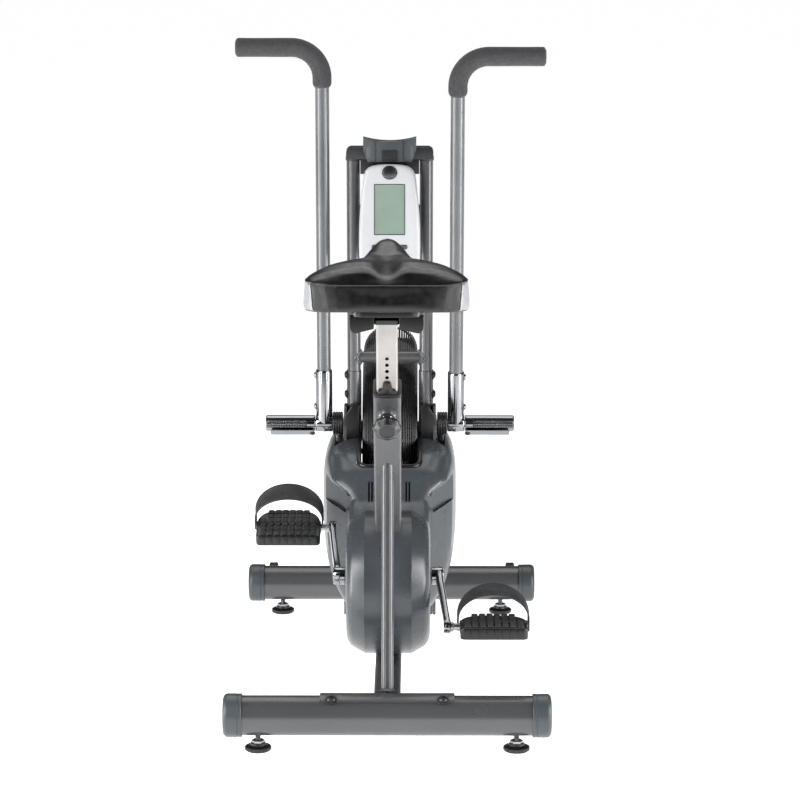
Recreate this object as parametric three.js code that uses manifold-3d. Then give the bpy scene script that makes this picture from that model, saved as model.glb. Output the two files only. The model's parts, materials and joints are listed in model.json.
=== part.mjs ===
// Air bike: a fan-resistance exercise bike with swinging arms.
// Millimetres, +Z up, +Y forward (the way the rider faces), +X to the rider's right.
// Everything is laid out with Y measured from the rear stabiliser's axis; the last lines
// move the whole bike so that the origin is under the middle of its bounding box.
import * as THREE from 'three';
import { mergeVertices } from 'three/addons/utils/BufferGeometryUtils.js';
import Module from 'manifold-3d';

const wasm = await Module();
wasm.setup();

const DEG = Math.PI / 180;
const GAP = 0.3;
const SIDES = { left: -1, right: 1 };

// ---- Driving dimensions ----
const STABILISER = { spacing: 1000, z: 67, radius: 37, wall: 2.5, rearHalf: 303, frontHalf: 313 };
const CAP = { length: 35, radius: 40.5, wall: 4, edge: 3 };
const FOOT = { x: 239, radius: 24.5, discHeight: 9, studRadius: 5, studTop: 34 };
const WHEEL = { x: 252, width: 19, radius: 20, y: 1059, z: 78, boreRadius: 4.4 };
const BEAM = { width: 50, bottom: 68, top: 108, wall: 2.5 };
const BRACKET = { half: 124, inner: 37.3, outer: 41.5, spread: 36 * DEG };
const CRANK = { y: 250, z: 270, arm: 170, phase: 20 * DEG, shellRadius: 22, shellHalf: 34, axleRadius: 10 };
const SEAT = {
  lean: 26 * DEG, tube: 50, wall: 2.5, top: 442, tab: 33, post: 39, postBottom: 300, postTop: 590,
};
const SEAT_HOLES = { first: 362, last: 516, pitch: 14, radius: 3.4 };
const PIN = {
  along: 404, radius: 4, bossRadius: 17, bossLength: 22, knobRadius: 27, faceRadius: 16.5, knob: 24,
};
const SADDLE = { panTop: 831.7, panBottom: 820 };
const FAN = { y: 812, z: 400, wheelRadius: 242, wheelHalf: 44, axleRadius: 6 };
const CAGE = { half: 55, radius: 265, bend: 50, wire: 2, hub: 45 };
const PULLEY = { x: 60, width: 9, large: 64, small: 16, flange: 3, belt: 4 };
const FORK = { x: 87.5, thickness: 6, bottomY: 586, footWidth: 32 };
const MAST = {
  x: 73.3, y: 655, z: 432, lean: 3 * DEG, radius: 13.5, top: 605, sleeve: 171, sleeveRadius: 15.5,
};
const PIVOT = { y: 630, z: 495, shaftRadius: 8, hubRadius: 24 };
const ARM = { x: 134, radius: 13.9, height: 765, bend: 60, gripEnd: 305, gripRadius: 18.8, gripStart: 686 };
const ARM_LEAN = { left: 3 * DEG, right: 10.5 * DEG };
const LEVER = { x: 101, thickness: 8, length: 120, radius: 13 };
const ROD = { innerX: 70.5, thickness: 5, slope: 17 * DEG, length: 360, kneeStart: 96, kneeEnd: 150 };
const PEG = { inner: 152, outer: 253, radius: 16.5 };
const PEDAL = { inner: 134, outer: 262, length: 100, height: 30, bore: 7.4 };
const PEDAL_TILT = { left: 20 * DEG, right: 0 };
const CONSOLE = { y: 578, z: 926, tilt: 6 * DEG, half: 61, height: 195, depth: 34 };
const SHROUD = { wall: 3, slotHalf: 65.5, slotRadius: 277, slotRear: 459, drumRadius: 137, drumHalf: 80, drumDrop: 12 };
const WAIST = { low: 385, high: 412 };
const REAR_EDGE = -118;
const FRONT_EDGE = WHEEL.y + WHEEL.radius;

// ---- Materials ----
function paint(color, roughness, metalness) {
  return new THREE.MeshStandardMaterial({ color, roughness, metalness });
}

const MATERIALS = {
  framePaint: () => paint('#5c5d60', 0.4, 0.5),
  armPaint: () => paint('#77797c', 0.38, 0.5),
  coverPlastic: () => paint('#666c71', 0.48, 0),
  capPlastic: () => paint('#4d5358', 0.5, 0),
  blackPlastic: () => paint('#1f2022', 0.5, 0),
  blackWire: () => paint('#17181a', 0.35, 0.4),
  chrome: () => paint('#d5d6d8', 0.1, 1),
  steel: () => paint('#a8abae', 0.3, 1),
  silverPlastic: () => paint('#dcdde0', 0.35, 0.1),
  screen: () => paint('#8fa598', 0.2, 0),
  foam: () => paint('#3f4043', 0.9, 0),
  vinyl: () => paint('#1d1d1f', 0.45, 0),
  rubber: () => paint('#1a1a1b', 0.8, 0),
};

// ---- Solid helpers ----
// A closed mesh as a manifold-3d solid, without the zero-area triangles at a lathe's poles.
function toSolid(geometry) {
  const bare = geometry.clone();
  bare.deleteAttribute('normal');
  bare.deleteAttribute('uv');
  const merged = mergeVertices(bare, 1e-4);
  const index = merged.index.array;
  const kept = [];
  for (let i = 0; i < index.length; i += 3) {
    const [a, b, c] = [index[i], index[i + 1], index[i + 2]];
    if (a !== b && b !== c && c !== a) kept.push(a, b, c);
  }
  const vertProperties = new Float32Array(merged.attributes.position.array);
  const mesh = new wasm.Mesh({ numProp: 3, vertProperties, triVerts: new Uint32Array(kept) });
  return new wasm.Manifold(mesh);
}

function toGeometry(solid) {
  const mesh = solid.getMesh();
  const geometry = new THREE.BufferGeometry();
  geometry.setAttribute('position', new THREE.BufferAttribute(mesh.vertProperties, 3));
  geometry.setIndex(new THREE.BufferAttribute(mesh.triVerts, 1));
  geometry.computeVertexNormals();
  return geometry;
}

const join = (first, ...others) =>
  toGeometry(others.reduce((whole, next) => whole.add(toSolid(next)), toSolid(first)));
const cut = (first, ...cutters) =>
  toGeometry(cutters.reduce((whole, next) => whole.subtract(toSolid(next)), toSolid(first)));

// A box from its lowest corner to its highest one.
function block([x0, y0, z0], [x1, y1, z1]) {
  const geometry = new THREE.BoxGeometry(x1 - x0, y1 - y0, z1 - z0);
  return geometry.translate((x0 + x1) / 2, (y0 + y1) / 2, (z0 + z1) / 2);
}

// A round bar between two points.
function bar(radius, from, to, sides = 24) {
  const start = new THREE.Vector3(...from);
  const end = new THREE.Vector3(...to);
  const along = end.clone().sub(start);
  const geometry = new THREE.CylinderGeometry(radius, radius, along.length(), sides);
  const up = new THREE.Vector3(0, 1, 0);
  geometry.applyQuaternion(new THREE.Quaternion().setFromUnitVectors(up, along.clone().normalize()));
  return geometry.translate(...start.add(end).multiplyScalar(0.5).toArray());
}

// A bar along X with its centre line at (y, z).
const barX = (radius, x0, x1, y = 0, z = 0, sides = 24) => bar(radius, [x0, y, z], [x1, y, z], sides);

// A turned solid: profile pairs are [radius, distance along the axis].
function turnedX(profile, sides = 32) {
  const points = profile.map(([radius, along]) => new THREE.Vector2(radius, along));
  return new THREE.LatheGeometry(points, sides).rotateZ(-90 * DEG);
}

function turnedZ(profile, sides = 24) {
  const points = profile.map(([radius, along]) => new THREE.Vector2(radius, along));
  return new THREE.LatheGeometry(points, sides).rotateX(90 * DEG);
}

// A profile for a turned ring, closed on itself.
const ringProfile = (inner, outer, start, end) =>
  [[inner, start], [outer, start], [outer, end], [inner, end], [inner, start]];

// Shapes drawn in (Y, Z), (X, Z) or (X, Y) and extruded along the axis that is left.
function extrudeX(shape, x0, x1, curveSegments = 8) {
  const geometry = new THREE.ExtrudeGeometry(shape, { depth: x1 - x0, bevelEnabled: false, curveSegments });
  const basis = new THREE.Matrix4().makeBasis(
    new THREE.Vector3(0, 1, 0), new THREE.Vector3(0, 0, 1), new THREE.Vector3(1, 0, 0));
  return geometry.applyMatrix4(basis).translate(x0, 0, 0);
}

function extrudeY(shape, y0, y1, curveSegments = 8) {
  const geometry = new THREE.ExtrudeGeometry(shape, { depth: y1 - y0, bevelEnabled: false, curveSegments });
  return geometry.rotateX(90 * DEG).translate(0, y1, 0);
}

function extrudeZ(shape, z0, z1, curveSegments = 8) {
  const geometry = new THREE.ExtrudeGeometry(shape, { depth: z1 - z0, bevelEnabled: false, curveSegments });
  return geometry.translate(0, 0, z0);
}

function polygon(points) {
  return new THREE.Shape(points.map(([a, b]) => new THREE.Vector2(a, b)));
}

function circle(radius, a = 0, b = 0, type = THREE.Shape) {
  const shape = new type();
  shape.absarc(a, b, radius, 0, 2 * Math.PI, false);
  return shape;
}

// A rectangle with round corners about (a, b).
function roundedRect(width, height, radius, a = 0, b = 0, type = THREE.Shape) {
  const [halfWidth, halfHeight] = [width / 2 - radius, height / 2 - radius];
  const shape = new type();
  shape.absarc(a + halfWidth, b - halfHeight, radius, -90 * DEG, 0, false);
  shape.absarc(a + halfWidth, b + halfHeight, radius, 0, 90 * DEG, false);
  shape.absarc(a - halfWidth, b + halfHeight, radius, 90 * DEG, 180 * DEG, false);
  shape.absarc(a - halfWidth, b - halfHeight, radius, 180 * DEG, 270 * DEG, false);
  shape.closePath();
  return shape;
}

// A path of straight runs and round bends. Its steps are spent on the bends.
class BentPath extends THREE.Curve {
  constructor(corners, bendRadius, bendSteps) {
    super();
    const points = corners.map((corner) => new THREE.Vector3(...corner));
    const heading = (i) => points[i + 1].clone().sub(points[i]).normalize();
    this.stations = [{ point: points[0], tangent: heading(0) }];
    for (let i = 1; i < points.length - 1; i += 1) {
      this.addBend(points[i], heading(i - 1), heading(i), bendRadius, bendSteps);
    }
    this.stations.push({ point: points[points.length - 1], tangent: heading(points.length - 2) });
  }

  addBend(corner, before, after, radius, steps) {
    const turn = before.angleTo(after);
    const toCentre = after.clone().addScaledVector(before, -Math.cos(turn)).normalize();
    const start = corner.clone().addScaledVector(before, -radius * Math.tan(turn / 2));
    for (let i = 0; i <= steps; i += 1) {
      const angle = (turn * i) / steps;
      const point = start.clone()
        .addScaledVector(before, radius * Math.sin(angle))
        .addScaledVector(toCentre, radius * (1 - Math.cos(angle)));
      const tangent = before.clone().multiplyScalar(Math.cos(angle))
        .addScaledVector(toCentre, Math.sin(angle));
      this.stations.push({ point, tangent });
    }
  }

  get steps() {
    return this.stations.length - 1;
  }

  getPointAt(t) {
    return this.stations[Math.round(t * this.steps)].point.clone();
  }

  getTangentAt(t) {
    return this.stations[Math.round(t * this.steps)].tangent.clone();
  }
}

function bentTube(corners, bendRadius, radius, sides = 12, bendSteps = 6) {
  const path = new BentPath(corners, bendRadius, bendSteps);
  const section = new THREE.Shape();
  for (let i = 0; i < sides; i += 1) {
    const angle = (2 * Math.PI * (i + 0.5)) / sides;
    const place = i === 0 ? 'moveTo' : 'lineTo';
    section[place](radius * Math.cos(angle), radius * Math.sin(angle));
  }
  section.closePath();
  return new THREE.ExtrudeGeometry(section, { steps: path.steps, extrudePath: path, bevelEnabled: false });
}

// A closed skin through rounded sections that stand across Y. Each station gives its half
// width, its lowest and highest points, and the height at which it is widest.
// Between waistLow and waistHigh a section widens from its waist to its half width.
function loft(stations, highPower, lowPower, sides = 36) {
  const positions = [];
  const signedPower = (value, power) => Math.sign(value) * Math.abs(value) ** (2 / power);
  for (const { y, half, waist = half, low, middle, high } of stations) {
    for (let i = 0; i < sides; i += 1) {
      const [c, s] = [Math.cos((2 * Math.PI * i) / sides), Math.sin((2 * Math.PI * i) / sides)];
      const power = s >= 0 ? highPower : lowPower;
      const reach = s >= 0 ? high - middle : middle - low;
      const z = middle + reach * signedPower(s, power);
      const widened = Math.min(1, Math.max(0, (z - WAIST.low) / (WAIST.high - WAIST.low)));
      positions.push((waist + (half - waist) * widened) * signedPower(c, power), y, z);
    }
  }
  const ends = [stations[0], stations[stations.length - 1]];
  for (const { y, middle } of ends) positions.push(0, y, middle);
  const startCentre = stations.length * sides;
  const lastRing = startCentre - sides;
  const index = [];
  for (let i = 0; i < sides; i += 1) {
    const next = (i + 1) % sides;
    for (let ring = 0; ring < lastRing; ring += sides) {
      const [a, b, c, d] = [ring + i, ring + next, ring + sides + next, ring + sides + i];
      index.push(a, d, b, b, d, c);
    }
    index.push(startCentre, i, next, startCentre + 1, lastRing + next, lastRing + i);
  }
  const geometry = new THREE.BufferGeometry();
  geometry.setAttribute('position', new THREE.Float32BufferAttribute(positions, 3));
  geometry.setIndex(index);
  geometry.computeVertexNormals();
  return geometry;
}

// ---- Scene helpers ----
const bike = new THREE.Group();

function frameAt(parent, position, turn = 0) {
  const group = new THREE.Group();
  group.position.set(...position);
  group.rotation.x = turn;
  parent.add(group);
  bike.updateMatrixWorld(true);
  return group;
}

function add(name, geometry, material, parent = bike) {
  const mesh = new THREE.Mesh(geometry, MATERIALS[material]());
  mesh.name = name;
  parent.add(mesh);
}

// A geometry drawn in the bike's frame, moved into a group's own frame, and the other way.
const intoFrame = (group, geometry) => geometry.applyMatrix4(group.matrixWorld.clone().invert());
const outOfFrame = (group, geometry) => geometry.applyMatrix4(group.matrixWorld);

// ---- Base: stabilisers, caps, feet, transport wheels, main beam with its cross member ----
function stabiliser(y, half) {
  const end = half - CAP.wall - GAP;
  const tube = barX(STABILISER.radius, -end, end, y, STABILISER.z, 28);
  const bore = barX(STABILISER.radius - STABILISER.wall, -half, half, y, STABILISER.z, 28);
  const studHole = (x) => bar(FOOT.studRadius + GAP, [x, y, 20], [x, y, STABILISER.z], 12);
  const studHoles = [-FOOT.x, FOOT.x].map(studHole);
  return cut(tube, bore, ...studHoles);
}

function endCap(side, y, half) {
  const open = half - CAP.length;
  const profile = [
    [0, half - CAP.wall], [STABILISER.radius + GAP, half - CAP.wall], [STABILISER.radius + GAP, open],
    [CAP.radius, open], [CAP.radius, half - CAP.edge], [CAP.radius - CAP.edge, half], [0, half],
  ];
  const cap = turnedX(profile, 28).translate(0, y, STABILISER.z);
  return side > 0 ? cap : cap.rotateZ(180 * DEG).translate(0, 2 * y, 0);
}

function levellingFoot(x, y) {
  const profile = [
    [0, 0], [FOOT.radius - 3, 0], [FOOT.radius, 3], [FOOT.radius, FOOT.discHeight], [14, 15], [14, 21],
    [9, 21], [9, 28], [FOOT.studRadius, 28], [FOOT.studRadius, FOOT.studTop], [0, FOOT.studTop],
  ];
  return turnedZ(profile, 16).translate(x, y, 0);
}

// The front stabiliser carries a lug and a stub axle for each transport wheel.
function frontStabiliser() {
  const tube = stabiliser(STABILISER.spacing, STABILISER.frontHalf);
  const lugs = Object.values(SIDES).flatMap((side) => {
    const inner = side * (WHEEL.x - 6);
    const outer = side * (WHEEL.x - GAP - 1);
    const lug = block(
      [Math.min(inner, outer), STABILISER.spacing + STABILISER.radius - 4, WHEEL.z - 10],
      [Math.max(inner, outer), WHEEL.y + 9, WHEEL.z + 9]);
    const ends = [inner, side * (WHEEL.x + WHEEL.width + 3)];
    const axle = barX(WHEEL.boreRadius - GAP, Math.min(...ends), Math.max(...ends), WHEEL.y, WHEEL.z, 16);
    return [lug, axle];
  });
  return join(tube, ...lugs);
}

function transportWheel(side) {
  const ends = [side * WHEEL.x, side * (WHEEL.x + WHEEL.width)].sort((a, b) => a - b);
  const profile = ringProfile(WHEEL.boreRadius, WHEEL.radius, ...ends);
  return turnedX(profile, 28).translate(0, WHEEL.y, WHEEL.z);
}

function mainBeam() {
  const reach = STABILISER.radius + 0.6;
  const start = [-BEAM.width / 2, reach, BEAM.bottom];
  const end = [BEAM.width / 2, STABILISER.spacing - reach, BEAM.top];
  const inside = block(
    [start[0] + BEAM.wall, 0, BEAM.bottom + BEAM.wall],
    [end[0] - BEAM.wall, STABILISER.spacing, BEAM.top - BEAM.wall]);
  const half = FORK.x - GAP;
  const forkFoot = block([-half, FORK.bottomY - 15, BEAM.top - 1], [half, FORK.bottomY + 15, BEAM.top + 30]);
  return join(cut(block(start, end), inside), forkFoot);
}

// A curved plate that saddles the rear stabiliser and takes the rear stay.
function rearBracket() {
  const [from, to] = [90 * DEG - BRACKET.spread, 90 * DEG + BRACKET.spread];
  const shape = new THREE.Shape();
  shape.absarc(0, 0, BRACKET.outer, from, to, false);
  shape.absarc(0, 0, BRACKET.inner, to, from, true);
  shape.closePath();
  const plate = extrudeX(shape, -BRACKET.half, BRACKET.half).translate(0, 0, STABILISER.z);
  const beamClear = block([-BEAM.width / 2 - GAP, 15, 0], [BEAM.width / 2 + GAP, 60, BEAM.top + GAP]);
  return cut(plate, beamClear);
}

const seatFrame = frameAt(bike, [0, CRANK.y, CRANK.z], SEAT.lean);

// Square prism along the seat tube, in the seat's own frame.
function seatPrism(width, from, to) {
  return block([-width / 2, -width / 2, from], [width / 2, width / 2, to]);
}

function seatTube() {
  const hollow = SEAT.tube - 2 * SEAT.wall;
  const tube = cut(seatPrism(SEAT.tube, -240, SEAT.top), seatPrism(hollow, -250, SEAT.top + 10));
  const shell = barX(CRANK.shellRadius, -CRANK.shellHalf, CRANK.shellHalf, 0, 0, 28);
  const bore = barX(CRANK.axleRadius + GAP, -50, 50, 0, 0, 24);
  const face = -SEAT.tube / 2;
  const boss = bar(PIN.bossRadius, [0, face + 1, PIN.along], [0, face - PIN.bossLength, PIN.along], 20);
  const pinHole = bar(PIN.radius + GAP, [0, -15, PIN.along], [0, -60, PIN.along], 12);
  const underBeam = intoFrame(seatFrame, block([-100, 0, -200], [100, 600, BEAM.top + GAP]));
  return cut(join(tube, shell, boss), bore, pinHole, underBeam);
}

// The plastic bush that fills the tube round the post, with a lip and a tab on top.
function seatBush() {
  const inTube = SEAT.tube - 2 * SEAT.wall - 2 * GAP;
  const sleeve = seatPrism(inTube, SEAT.top - 90, SEAT.top + 1);
  const lip = seatPrism(SEAT.tube + 2, SEAT.top + GAP, SEAT.top + 7);
  const tab = block([-9, -SEAT.tube / 2 + 1, SEAT.top + 5], [9, -SEAT.post / 2 - 1, SEAT.top + SEAT.tab]);
  const pinHole = bar(PIN.radius + GAP, [0, -10, PIN.along], [0, -60, PIN.along], 12);
  return cut(join(sleeve, lip, tab), seatPrism(SEAT.post + 2 * GAP, 0, 600), pinHole);
}

function rearStay() {
  const stay = bar(12.5, [0, 112, 552], [0, 26, 96], 24);
  const tubeClear = outOfFrame(seatFrame, seatPrism(SEAT.tube + 2 * GAP, 0, SEAT.top));
  const plateClear = barX(BRACKET.outer + GAP, -80, 80, 0, STABILISER.z, 48);
  const beamClear = block([-40, 20, 0], [40, 100, BEAM.top + GAP]);
  return cut(stay, tubeClear, plateClear, beamClear);
}

// ---- Seat: post, pull pin, pan with its clamp, saddle ----
function seatPost() {
  const tube = cut(seatPrism(SEAT.post, SEAT.postBottom, SEAT.postTop),
    seatPrism(SEAT.post - 4, SEAT.postBottom - 10, SEAT.postTop + 10));
  const holes = [];
  for (let along = SEAT_HOLES.first; along <= SEAT_HOLES.last; along += SEAT_HOLES.pitch) {
    holes.push(bar(SEAT_HOLES.radius, [0, -SEAT.post / 2 - 2, along], [0, -SEAT.post / 2 + 6, along], 10));
  }
  return cut(tube, ...holes);
}

function pullPin() {
  const start = SEAT.tube / 2 + PIN.bossLength + GAP;
  const shaft = bar(PIN.radius, [0, -SEAT.post / 2 - 0.5, PIN.along], [0, -start - 10, PIN.along], 16);
  const profile = [[0, start], [14, start], [16, start + 6], [PIN.knobRadius, start + 9],
    [PIN.knobRadius, start + 15], [PIN.faceRadius, start + PIN.knob], [0, start + PIN.knob]];
  const points = profile.map(([radius, along]) => new THREE.Vector2(radius, along));
  const knob = new THREE.LatheGeometry(points, 20).rotateX(180 * DEG).translate(0, 0, PIN.along);
  return join(shaft, knob);
}

// The pan under the saddle, with the clamp block on the post and the two wings seen from behind.
function saddlePan() {
  const sleeve = outOfFrame(seatFrame, block([-23, -23, SEAT.postTop + GAP], [23, 23, SEAT.postTop + 70]));
  const clamp = cut(sleeve, block([-60, -200, SADDLE.panBottom + 1], [60, 200, 1000]));
  const plate = extrudeZ(roundedRect(150, 118, 26, 0, -22), SADDLE.panBottom, SADDLE.panTop);
  const wings = Object.values(SIDES).map((side) => {
    const outline = [[25, 822], [66, 822], [66, 800], [60, 790], [25, 799]].map(([x, z]) => [side * x, z]);
    return extrudeY(polygon(side > 0 ? outline.reverse() : outline), -62, 6);
  });
  return join(plate, clamp, ...wings);
}

const SADDLE_STATIONS = [
  { y: REAR_EDGE, half: 126, low: 838, middle: 858, high: 882 },
  { y: -104, half: 140, low: 833, middle: 868, high: 900 },
  { y: -80, half: 148, low: 832, middle: 872, high: 914 },
  { y: -40, half: 151, low: 832, middle: 872, high: 921 },
  { y: 0, half: 134, low: 832, middle: 872, high: 918 },
  { y: 45, half: 92, low: 834, middle: 875, high: 914 },
  { y: 95, half: 58, low: 840, middle: 885, high: 919 },
  { y: 135, half: 44, low: 848, middle: 893, high: 926 },
  { y: 160, half: 30, low: 860, middle: 897, high: 925 },
  { y: 170, half: 14, low: 876, middle: 900, high: 918 },
];
const saddle = () => loft(SADDLE_STATIONS, 2.3, 5, 24);

// ---- Drive: crank axle, pulleys, belt, cranks, pedals ----
const crankAxle = () => barX(CRANK.axleRadius, -82.5, 82.5, 0, 0, 24);

// A pulley with a flange on each side of the belt's track.
function pulley(radius, bore) {
  const [a, b] = [PULLEY.x, PULLEY.x + PULLEY.width];
  const rim = radius + PULLEY.flange;
  const track = [[rim, a], [radius, a + 1.5], [radius, b - 1.5], [rim, b]];
  return turnedX([[bore, a], ...track, [bore, b], [bore, a]], 24);
}

function belt() {
  const [dy, dz] = [FAN.y - CRANK.y, FAN.z - CRANK.z];
  const heading = Math.atan2(dz, dy);
  const wrap = Math.acos((PULLEY.large - PULLEY.small) / Math.hypot(dy, dz));
  const loop = (type, extra) => {
    const path = new type();
    path.absarc(CRANK.y, CRANK.z, PULLEY.large + extra, heading + wrap, heading + 2 * Math.PI - wrap, false);
    path.absarc(FAN.y, FAN.z, PULLEY.small + extra, heading - wrap, heading + wrap, false);
    path.closePath();
    return path;
  };
  const band = loop(THREE.Shape, GAP + 0.5 + PULLEY.belt);
  band.holes.push(loop(THREE.Path, GAP + 0.5));
  return extrudeX(band, PULLEY.x + 2, PULLEY.x + PULLEY.width - 2, 10);
}

// A crank arm with its boss and pedal spindle. It points to +Y in its own frame.
function crankArm(side) {
  const outline = [[-14, 90], [-14, 104], [30, 106], [90, 112], [CRANK.arm + 12, 117],
    [CRANK.arm + 12, 105], [90, 99], [30, 92]].map(([y, x]) => [side * x, y]);
  const arm = extrudeZ(polygon(side > 0 ? outline.reverse() : outline), -9, 9);
  const reach = (radius, from, to, y) => {
    const [a, b] = [side * from, side * to].sort((p, q) => p - q);
    return barX(radius, a, b, y, 0, 24);
  };
  const boss = reach(17, 83, 106, 0);
  const eye = reach(12, 104.5, 118, CRANK.arm);
  const spindle = reach(7, 116, PEDAL.outer - 8, CRANK.arm);
  return join(arm, boss, eye, spindle);
}

// A wide platform pedal with a bore for the spindle and open slots fore and aft.
function pedal(side) {
  const middle = (side * (PEDAL.inner + PEDAL.outer)) / 2;
  const outline = roundedRect(PEDAL.outer - PEDAL.inner, PEDAL.length, 16, middle, 0);
  for (const y of [-30, 30]) {
    outline.holes.push(roundedRect(86, 16, 5, middle, y, THREE.Path));
  }
  const body = extrudeZ(outline, -PEDAL.height / 2, PEDAL.height / 2, 3);
  const ends = [side * (PEDAL.inner - 5), side * (PEDAL.outer - 5)].sort((a, b) => a - b);
  return cut(body, barX(PEDAL.bore, ...ends, 0, 0, 20));
}

// The strap stands over the front half of the pedal, from one side face to the other.
function pedalStrap(side) {
  const middle = (side * (PEDAL.inner + PEDAL.outer)) / 2;
  const [inner, outer, rise] = [64 + GAP, 68, 74];
  const arch = new THREE.Shape();
  arch.moveTo(middle + outer, -12);
  arch.lineTo(middle + outer, 14);
  arch.absellipse(middle, 14, outer, rise - 14, 0, Math.PI, false);
  arch.lineTo(middle - outer, -12);
  arch.lineTo(middle - inner, -12);
  arch.lineTo(middle - inner, 14);
  arch.absellipse(middle, 14, inner, rise - 18, Math.PI, 0, true);
  arch.lineTo(middle + inner, -12);
  arch.closePath();
  return extrudeY(arch, 9, 47, 7);
}

// ---- Fan: wheel, axle, cage ----
function fanWheel() {
  const half = FAN.wheelHalf;
  const hub = turnedX(ringProfile(FAN.axleRadius + GAP, 28, -half, half), 16);
  const disc = turnedX(ringProfile(20, 175, -1.5, 1.5), 24);
  const vanes = [];
  for (let i = 0; i < 12; i += 1) {
    const vane = block([-half, -1.5, 95], [half, 1.5, FAN.wheelRadius]);
    vanes.push(vane.rotateX((360 / 12) * i * DEG));
  }
  return join(hub, disc, ...vanes);
}

// Hoops at set widths and bows that run round the rim from one hub ring to the other.
function fanCage() {
  const side = CAGE.half;
  const ring = (radius) => new THREE.TorusGeometry(radius, CAGE.wire, 3, 28).rotateY(90 * DEG);
  const hoop = (x, radius) => ring(radius).translate(x, 0, 0);
  const shoulder = CAGE.radius - CAGE.bend * (1 - Math.sin(50 * DEG));
  const shoulderX = side - CAGE.bend * (1 - Math.cos(50 * DEG));
  const hoops = [hoop(0, CAGE.radius)];
  const bows = [];
  for (const end of [-1, 1]) {
    hoops.push(hoop(end * shoulderX, shoulder), hoop(end * side, 200), hoop(end * side, 120));
    hoops.push(turnedX(ringProfile(30, CAGE.hub + 8, end * side - 1.5, end * side + 1.5), 24));
  }
  const { hub, radius } = CAGE;
  const corners = [[-side, 0, hub], [-side, 0, radius], [side, 0, radius], [side, 0, hub]];
  for (let i = 0; i < 6; i += 1) {
    bows.push(bentTube(corners, CAGE.bend, CAGE.wire, 4, 4).rotateX((60 * i + 30) * DEG));
  }
  return join(...hoops, ...bows).translate(0, FAN.y, FAN.z);
}

// ---- Fork, masts, brace, head piece, console ----
const mastFrame = frameAt(bike, [0, MAST.y, MAST.z], MAST.lean);

// A plate that holds the fan axle and the arm pivot, welded to the sleeve that takes a mast.
function forkPlate(side) {
  const outline = polygon([
    [FORK.bottomY - FORK.footWidth / 2, BEAM.top + GAP], [FORK.bottomY + FORK.footWidth / 2, BEAM.top + GAP],
    [650, 330], [FAN.y, FAN.z - 26], [FAN.y + 24, FAN.z - 12], [FAN.y + 24, FAN.z + 14],
    [FAN.y, FAN.z + 26], [676, 440], [668, 530], [614, 530], [602, 480],
  ]);
  outline.holes.push(circle(FAN.axleRadius + GAP, FAN.y, FAN.z, THREE.Path));
  const [a, b] = [side * FORK.x, side * (FORK.x + FORK.thickness)].sort((p, q) => p - q);
  const plate = extrudeX(outline, a, b);
  const sleeve = bar(MAST.sleeveRadius, [side * MAST.x, 0, 0], [side * MAST.x, 0, MAST.sleeve], 24);
  const bore = bar(MAST.radius + GAP, [side * MAST.x, 0, 8], [side * MAST.x, 0, MAST.sleeve + 5], 24);
  const shaft = barX(PIVOT.shaftRadius + GAP, a - 2, b + 2, PIVOT.y, PIVOT.z, 20);
  return cut(join(plate, outOfFrame(mastFrame, sleeve)), outOfFrame(mastFrame, bore), shaft);
}

const mast = (side) => bar(MAST.radius, [side * MAST.x, 0, 9], [side * MAST.x, 0, MAST.top], 24);

function mastBrace() {
  const along = 198;
  const tube = bar(11, [-MAST.x, 0, along], [MAST.x, 0, along], 20);
  const mastClear = (side) => bar(MAST.radius + GAP, [side * MAST.x, 0, 150], [side * MAST.x, 0, 250], 24);
  const clear = [-1, 1].map(mastClear);
  return cut(tube, ...clear);
}

// The dark plastic head that caps both masts and carries the device rack.
function mastHead() {
  const [low, high, half] = [MAST.top + GAP, MAST.top + 24, MAST.x + 14];
  const barShape = new THREE.Shape();
  barShape.moveTo(-half, low);
  barShape.lineTo(half, low);
  barShape.absarc(half - 12, high - 12, 12, 0, 90 * DEG, false);
  barShape.absarc(-half + 12, high - 12, 12, 90 * DEG, 180 * DEG, false);
  barShape.closePath();
  const rack = new THREE.Shape();
  rack.moveTo(-44, low - 4);
  rack.lineTo(44, low - 4);
  rack.lineTo(53, high - 2);
  rack.lineTo(53, high + 22);
  rack.quadraticCurveTo(0, high + 14, -53, high + 22);
  rack.lineTo(-53, high - 2);
  rack.closePath();
  return join(extrudeY(barShape, -15, 15), extrudeY(rack, -30, -8));
}

// A flat plate across the masts and a block that reaches back to the console.
function consoleBracket() {
  const front = -MAST.radius - GAP;
  const plate = block([-84, front - 4, 465], [84, front, 515]);
  const arm = block([-30, front - 14, 470], [30, front - 3, 510]);
  return join(plate, arm);
}

const consoleFrame = frameAt(bike, [0, CONSOLE.y, CONSOLE.z], -CONSOLE.tilt);
const SCREEN = { half: 31, low: -38, high: 63, depth: 4 };
const BUTTONS = { left: [-28, -62], right: [28, -62], middle: [0, -80] };
const BUTTON = { width: 15, height: 9, proud: 2.5, pocket: 7 };

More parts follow.
